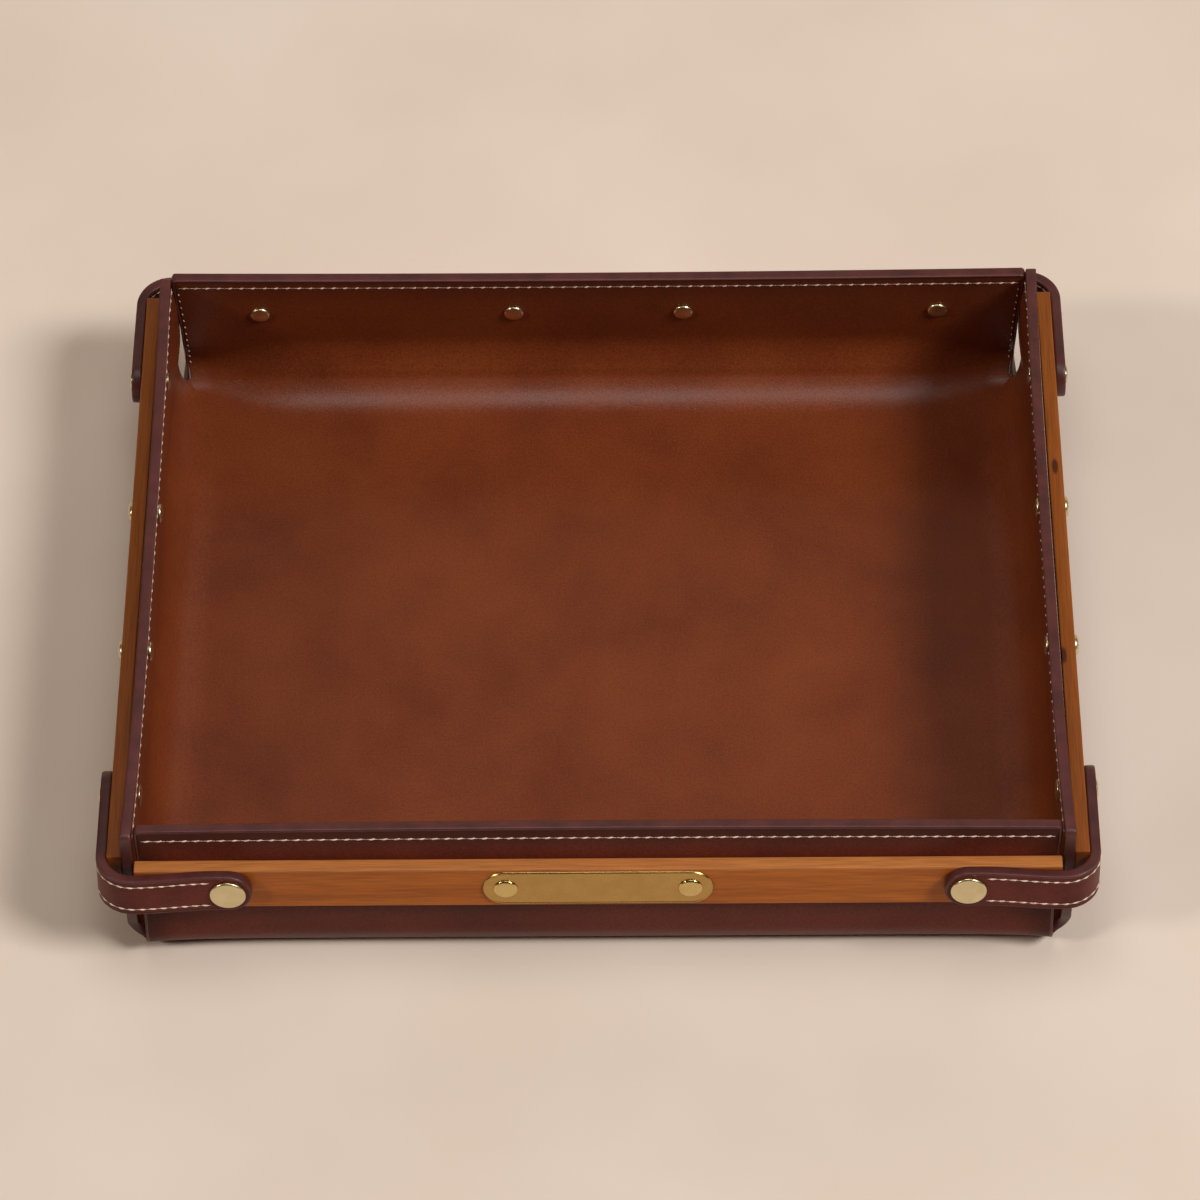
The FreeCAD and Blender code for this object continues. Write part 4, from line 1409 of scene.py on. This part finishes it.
@dataclass
class CornerStrap:
    """A two-ply strap from its rivet on the side rail, round the corner, to its snap on the end rail.

    It is worked out at the front right corner, and mirrored to the other three.
    """

    # Band and its line
    half_width: float = 10.0
    thick: float = 4.3
    glue: float = 0.1
    bend_radius: float = 15.5
    droop: float = 2.5
    spare: float = 0.4
    past_snap: float = 12.0
    rise_past: float = 6.0
    lift_run: float = 14.0
    # Edge
    edge_hold: float = 0.3
    edge_profile: EdgeProfile = EdgeProfile(lap=1.1, squareness=0.5, proud=0.06, key_half=1.4, stations=13)
    edge_steps: int = 100
    # Stitching
    stitch_inset: float = 3.3
    stitch_pitch: float = 4.4
    first_stitch: float = 4.5
    cap_clear: float = 0.5
    probe: float = 0.3
    stitch: Stitch = Stitch(length=2.8, width=0.85, height=0.65, slant=5.0, proud=0.1)
    lay: Stitch = Stitch(length=4.7, width=0.3, height=0.3, slant=0.0, proud=-0.02)
    # Where along x an unsnapped strap would give way, and the flex line's place in metres; nothing here reads them
    blend_start: float = 193.0
    blend_end: float = 174.0
    flex_y: float = 0.1676
    flex_z: float = 0.0514
    # Snap cap with its post, and the socket's radii and heights: mouth, lip, outside and back
    cap_radius: float = 7.5
    cap_height: float = 1.45
    cap_fall: float = 0.18
    cap_flat: float = 0.88
    cap_turn: tuple[float, float] = (0.3, 1.57)
    rim_level: float = 0.55
    rim_rise: float = 0.76
    rim_foot: float = 0.3
    cap_under: float = 0.97
    post_radius: float = 2.0
    post_length: float = 2.1
    socket: tuple[tuple[float, float], ...] = (
        (0.0, 1.6), (3.95, 1.6), (4.05, 1.2), (3.75, 0.7), (3.95, 0.1), (4.4, -0.12), (5.4, -0.12), (5.95, 0.1),
        (6.0, 0.4), (6.0, 2.1), (0.0, 2.1))
    # Worked out from the rest
    line: dict[str, Array] = field(default_factory=dict)
    reach: float = 0.0

    def __post_init__(self) -> None:
        """Lay the strap's middle line along its outer face.

        The line is straight on the side rail, an arc about the line where the two strap planes' insides
        would meet, and a slow S on the end rail, where it rises to the snap. Along with each point go the
        direction across the strap and the direction out of it.
        """
        side_out, front_out = RIGHT.axis(0, 1), FRONT.axis(0, 1)
        across = np.cross(front_out, side_out)
        across /= np.linalg.norm(across) * np.sign(across[2])
        # The bend's axis lies a bend radius inside both of the strap's outer planes.
        planes = np.stack([side_out, front_out, [0, 0, 1]])
        level = FRONT.place(0, SNAP_LEVEL - self.droop, STRAP_FACE - self.bend_radius)[2]
        heights = [side_out @ RIGHT.place(0, 0, STRAP_FACE) - self.bend_radius,
                   front_out @ FRONT.place(0, 0, STRAP_FACE) - self.bend_radius, level]
        axis = np.linalg.solve(planes, np.array(heights))
        turn = math.acos(side_out @ front_out)
        angle = np.linspace(0, turn, 25)[:, None]
        out = (np.sin(turn - angle) * side_out + np.sin(angle) * front_out) / math.sin(turn)
        bend = axis + self.bend_radius * out
        share = np.linspace(-self.spare, 1, 60)[:-1, None]
        rivet = RIGHT.place(-STRAP_RIVET_Y, RAIL_MIDDLE, STRAP_FACE)
        side = rivet + (bend[0] - rivet) * share
        side_up = RIGHT.axis(1, 0) * (1 - smooth_step(share, 0, 1)) + across * smooth_step(share, 0, 1)
        x = np.linspace(bend[-1][0], SNAP_X - self.past_snap, 80)[1:]
        start_up = (bend[-1] - FRONT.place(bend[-1][0], 0, STRAP_FACE)) @ FRONT.axis(1, 0)
        rise = smooth_step(-x, -bend[-1][0], -SNAP_X - self.rise_past)
        up = start_up + (SNAP_LEVEL - start_up) * rise
        front = FRONT.place(x, up, STRAP_FACE)
        lift = smooth_step(-x, -bend[-1][0], -bend[-1][0] + self.lift_run)[:, None]
        front_up = across * (1 - lift) + FRONT.axis(1, 0) * lift
        points = np.concatenate([side, bend, front])
        length = np.concatenate([[0], np.cumsum(np.linalg.norm(np.diff(points, axis=0), axis=1))])
        self.line = {
            "length": length - self.spare * np.linalg.norm(bend[0] - rivet),
            "points": points,
            "across": np.concatenate([side_up, np.repeat(across[None], len(bend), 0), front_up]),
            "out": np.concatenate([np.repeat(side_out[None], len(side), 0), out,
                                   np.repeat(front_out[None], len(front), 0)]),
        }
        self.reach = float(np.interp(-SNAP_X, -points[-len(front):, 0], self.line["length"][-len(front):]))

    def at(self, long: Array, wide: Array, depth: Array) -> Array:
        """Points of the strap from flat measures.

        Args:
            long: distance along from the rivet.
            wide: distance above the middle line.
            depth: distance in from the outer face.

        Returns:
            The points.
        """
        long, wide, depth = np.broadcast_arrays(*(np.asarray(v, float) for v in (long, wide, depth)))

        def along(key: str) -> Array:
            """One of the line's arrays, read between its stations."""
            table = self.line[key]
            return np.stack([np.interp(long, self.line["length"], table[:, k]) for k in range(3)], -1)

        return along("points") + along("across") * wide[..., None] - along("out") * depth[..., None]

    def face(self, depth: float) -> Surface:
        """One side of a ply: a band with round ends, narrowing as a circle past the rivet and the snap.

        Args:
            depth: distance in from the outer face.

        Returns:
            The open surface, with flat measures in metres and the distance from the edge.
        """
        radius = self.half_width - self.edge_hold
        end = np.sin(np.linspace(math.pi / 2, 0, 10)) * radius
        long = np.concatenate([-end[:-1], np.linspace(0, self.reach, 90), self.reach + end[::-1][1:]])[:, None]
        beyond = np.maximum(np.maximum(-long, long - self.reach), 0)
        half = np.sqrt(np.maximum(radius ** 2 - beyond ** 2, 0))
        wide = np.linspace(-1, 1, 11)[None, :] * half
        near = self.half_width - np.hypot(wide, beyond)
        shape = np.broadcast(long, wide).shape
        return Surface.from_grid(self.at(long, wide, depth), edge_mm=near,
                                 flat_long=np.broadcast_to(long, shape) * MM, flat_wide=wide * MM)

    def edge(self) -> Surface:
        """The painted edge: its profile carried round the strap's stadium outline.

        Returns:
            The closed tube.
        """
        straight = np.linspace(0, self.reach, self.edge_steps)
        level, none = np.ones(self.edge_steps), np.zeros(self.edge_steps)
        angle = np.linspace(-math.pi / 2, math.pi / 2, 21)[1:-1]
        long = np.concatenate([straight, self.reach + self.half_width * np.cos(angle),
                               straight[::-1], -self.half_width * np.cos(angle)])
        out_wide = np.concatenate([-level, np.sin(angle), level, -np.sin(angle)])
        out_long = np.concatenate([none, np.cos(angle), none, -np.cos(angle)])
        out, depth = self.edge_profile.section(self.thick)
        grid = self.at(long[:, None] + out_long[:, None] * out,
                       out_wide[:, None] * (self.half_width + out), depth[None, :])
        return Surface.from_grid(grid, ring_rows=True, ring_columns=True)

    def stitching(self) -> Surface:
        """Two rows of stitches over a thin thread, on both faces, stopping at the snap and at the rivet.

        Returns:
            All the rows as one surface.
        """
        parts = []
        long = np.arange(self.first_stitch, self.reach - self.cap_radius - self.cap_clear, self.stitch_pitch)
        for row in (-1, 1):
            wide = np.full(long.shape, row * (self.half_width - self.stitch_inset))
            for depth, sign in ((0.0, 1), (self.thick, -1)):
                points = self.at(long, wide, depth)
                ahead = self.at(long + self.probe, wide, depth) - points
                middle = self.at(long, wide, self.thick / 2)
                parts += [stitch.row(points, ahead * sign, points - middle) for stitch in (self.stitch, self.lay)]
        return Surface.joined(parts)

    def snap(self) -> dict[str, Surface]:
        """The snap's cap on the strap's face, and the socket sunk in its back.

        The cap's crown falls with the square of the radius, and its rim is a quarter ellipse.

        Returns:
            Each one's surface, under its node's name.
        """
        spot = [(SNAP_X, SNAP_LEVEL)]
        radius, flat = self.cap_radius, self.cap_flat
        crown = [(radius * share, self.cap_height - self.cap_fall * share ** 2) for share in np.linspace(0, flat, 7)]
        rim = [(radius * (flat + (1 - flat) * math.sin(angle)), self.rim_level + self.rim_rise * math.cos(angle))
               for angle in np.linspace(*self.cap_turn, 6)]
        post = [(self.post_radius, 0.0), (self.post_radius, -self.post_length), (0.0, -self.post_length)]
        cap = crown + rim + [(radius, self.rim_foot), (radius * self.cap_under, 0.0)] + post
        return {
            "snap_cap": turned(FRONT, spot, STRAP_FACE, True, cap, 48),
            "snap_socket": turned(FRONT, spot, STRAP_FACE - self.thick, True, self.socket, 40),
        }

    def build(self, finishes: Finishes) -> None:
        """Make and dress the four straps with their snaps.

        Args:
            finishes: the tray's materials.
        """
        half = (self.thick - self.glue) / 2
        bands = (
            ("strap_face", thick(self.face(0.0), self.face(half)), finishes.strap, ("strap_outer", "tab_outer")),
            ("strap_back", thick(self.face(half + self.glue), self.face(self.thick)), finishes.strap_back,
             ("strap_lining", "tab_lining")),
            ("strap_edge_paint", self.edge(), finishes.edge, ()),
            ("strap_stitching", self.stitching(), finishes.thread, ()),
        )
        snaps = self.snap()
        for corner, left, back in (("front_right", False, False), ("front_left", True, False),
                                   ("back_right", False, True), ("back_left", True, True)):
            for name, surface, finish, nodes in bands:
                piece = make_piece(f"{corner}_{name}", surface.flipped(left, back), finish)
                if nodes:
                    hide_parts(*(f"{corner}_{node}" for node in nodes))
                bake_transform(piece)
            for node, surface in snaps.items():
                piece = make_piece(f"{corner}_turned_{node}", surface.flipped(left, back), finishes.pale_brass)
                settle(piece, f"{corner}_tab_end", "pale_brass", f"{corner}_{node}")


# Studio

@dataclass
class Studio:
    """The floor, the lights and the camera at the photograph's view."""

    floor_half: float = 3000.0
    sweep_start: float = 1500.0
    sweep_radius: float = 900.0
    sweep_top: float = 3000.0
    room_colour: str = "#FFE0C0"
    room_strength: float = 0.035
    focal_px: float = 5059.5
    frame_px: float = 1200.0
    centre_px: tuple[float, float] = (599.6, 649.3)
    distance: float = 2225.8
    elevation: float = 52.343
    yaw: float = -0.836
    roll: float = -1.026
    sensor: float = 36.0

    def floor(self) -> None:
        """A sweep that rises far behind the tray: flat, then a quarter circle, then upright."""
        flat = np.linspace(-self.floor_half, self.sweep_start, 12)
        angle = np.linspace(0, math.pi / 2, 12)[1:]
        radius, end = self.sweep_radius, self.sweep_start + self.sweep_radius
        depth = np.concatenate([flat, self.sweep_start + radius * np.sin(angle), [end]])
        height = np.concatenate([0 * flat, radius * (1 - np.cos(angle)), [self.sweep_top]])
        x = np.linspace(-self.floor_half, self.floor_half, 9)
        grid = np.stack(np.broadcast_arrays(x[None, :], depth[:, None], height[:, None]), -1)
        floor = make_piece("floor", Surface.from_grid(grid), FloorFinish().material())
        floor.data.flip_normals()

    def camera(self) -> None:
        """The camera on the line that the photograph's outline gives."""
        data = bpy.data.cameras.new("camera")
        data.sensor_width = self.sensor
        data.lens = self.focal_px / self.frame_px * self.sensor
        data.shift_x = (self.frame_px / 2 - self.centre_px[0]) / self.frame_px
        data.shift_y = (self.centre_px[1] - self.frame_px / 2) / self.frame_px
        data.clip_end = 50
        rise, yaw = math.radians(self.elevation), math.radians(self.yaw)
        back = Vector((-math.sin(yaw) * math.cos(rise), -math.cos(yaw) * math.cos(rise), math.sin(rise)))
        camera = bpy.data.objects.new("camera", data)
        aim = (-back).to_track_quat("-Z", "Y").to_matrix().to_4x4()
        turn = aim @ Matrix.Rotation(math.radians(self.roll), 4, "Z")
        camera.matrix_world = Matrix.Translation(back * self.distance * MM) @ turn
        bpy.context.scene.collection.objects.link(camera)
        bpy.context.scene.camera = camera

    def lights(self) -> None:
        """A key from the right, a weaker fill from the left, a soft panel overhead, and a dim room.

        Places and sizes of the lamps are in metres.
        """
        for name, place, size, power, colour in (
            ("key", (3.60, -1.68, 4.49), (1.6, 1.6), 254.0, "#FFFFFF"),
            ("left_fill", (-4.29, -2.0, 3.70), (0.9, 0.9), 92.0, "#FFF8EE"),
            ("overhead", (-0.03, -0.02, 1.5), (0.84, 0.58), 5.0, "#FFFFFF"),
        ):
            data = bpy.data.lights.new(name, "AREA")
            data.shape = "RECTANGLE"
            data.size, data.size_y = size
            data.energy = power
            data.color = linear(colour)[:3]
            lamp = bpy.data.objects.new(name, data)
            aim = Vector(place).to_track_quat("Z", "Y").to_matrix().to_4x4()
            lamp.matrix_world = Matrix.Translation(place) @ aim
            bpy.context.scene.collection.objects.link(lamp)
        world = bpy.data.worlds.new("room")
        world.use_nodes = True
        glow = world.node_tree.nodes["Background"]
        glow.inputs["Color"].default_value = linear(self.room_colour)
        glow.inputs["Strength"].default_value = self.room_strength
        bpy.context.scene.world = world

    def build(self) -> None:
        """Set the studio up."""
        self.floor()
        self.camera()
        self.lights()
        bpy.context.scene.view_settings.view_transform = "Standard"


def plain(box: tuple[Vector, Vector]) -> list[list[float]]:
    """A box's two corners as lists."""
    return [list(corner) for corner in box]


def main() -> None:
    """Build the tray's assemblies in order."""
    logging.basicConfig(level=logging.INFO, format="%(message)s")
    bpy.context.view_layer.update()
    Studio().build()
    finishes = Finishes.made()
    LeatherBox().build(finishes)
    Rails().build(finishes)
    Fasteners().build(finishes)
    CornerStrap().build(finishes)


if __name__ == "__main__":
    main()
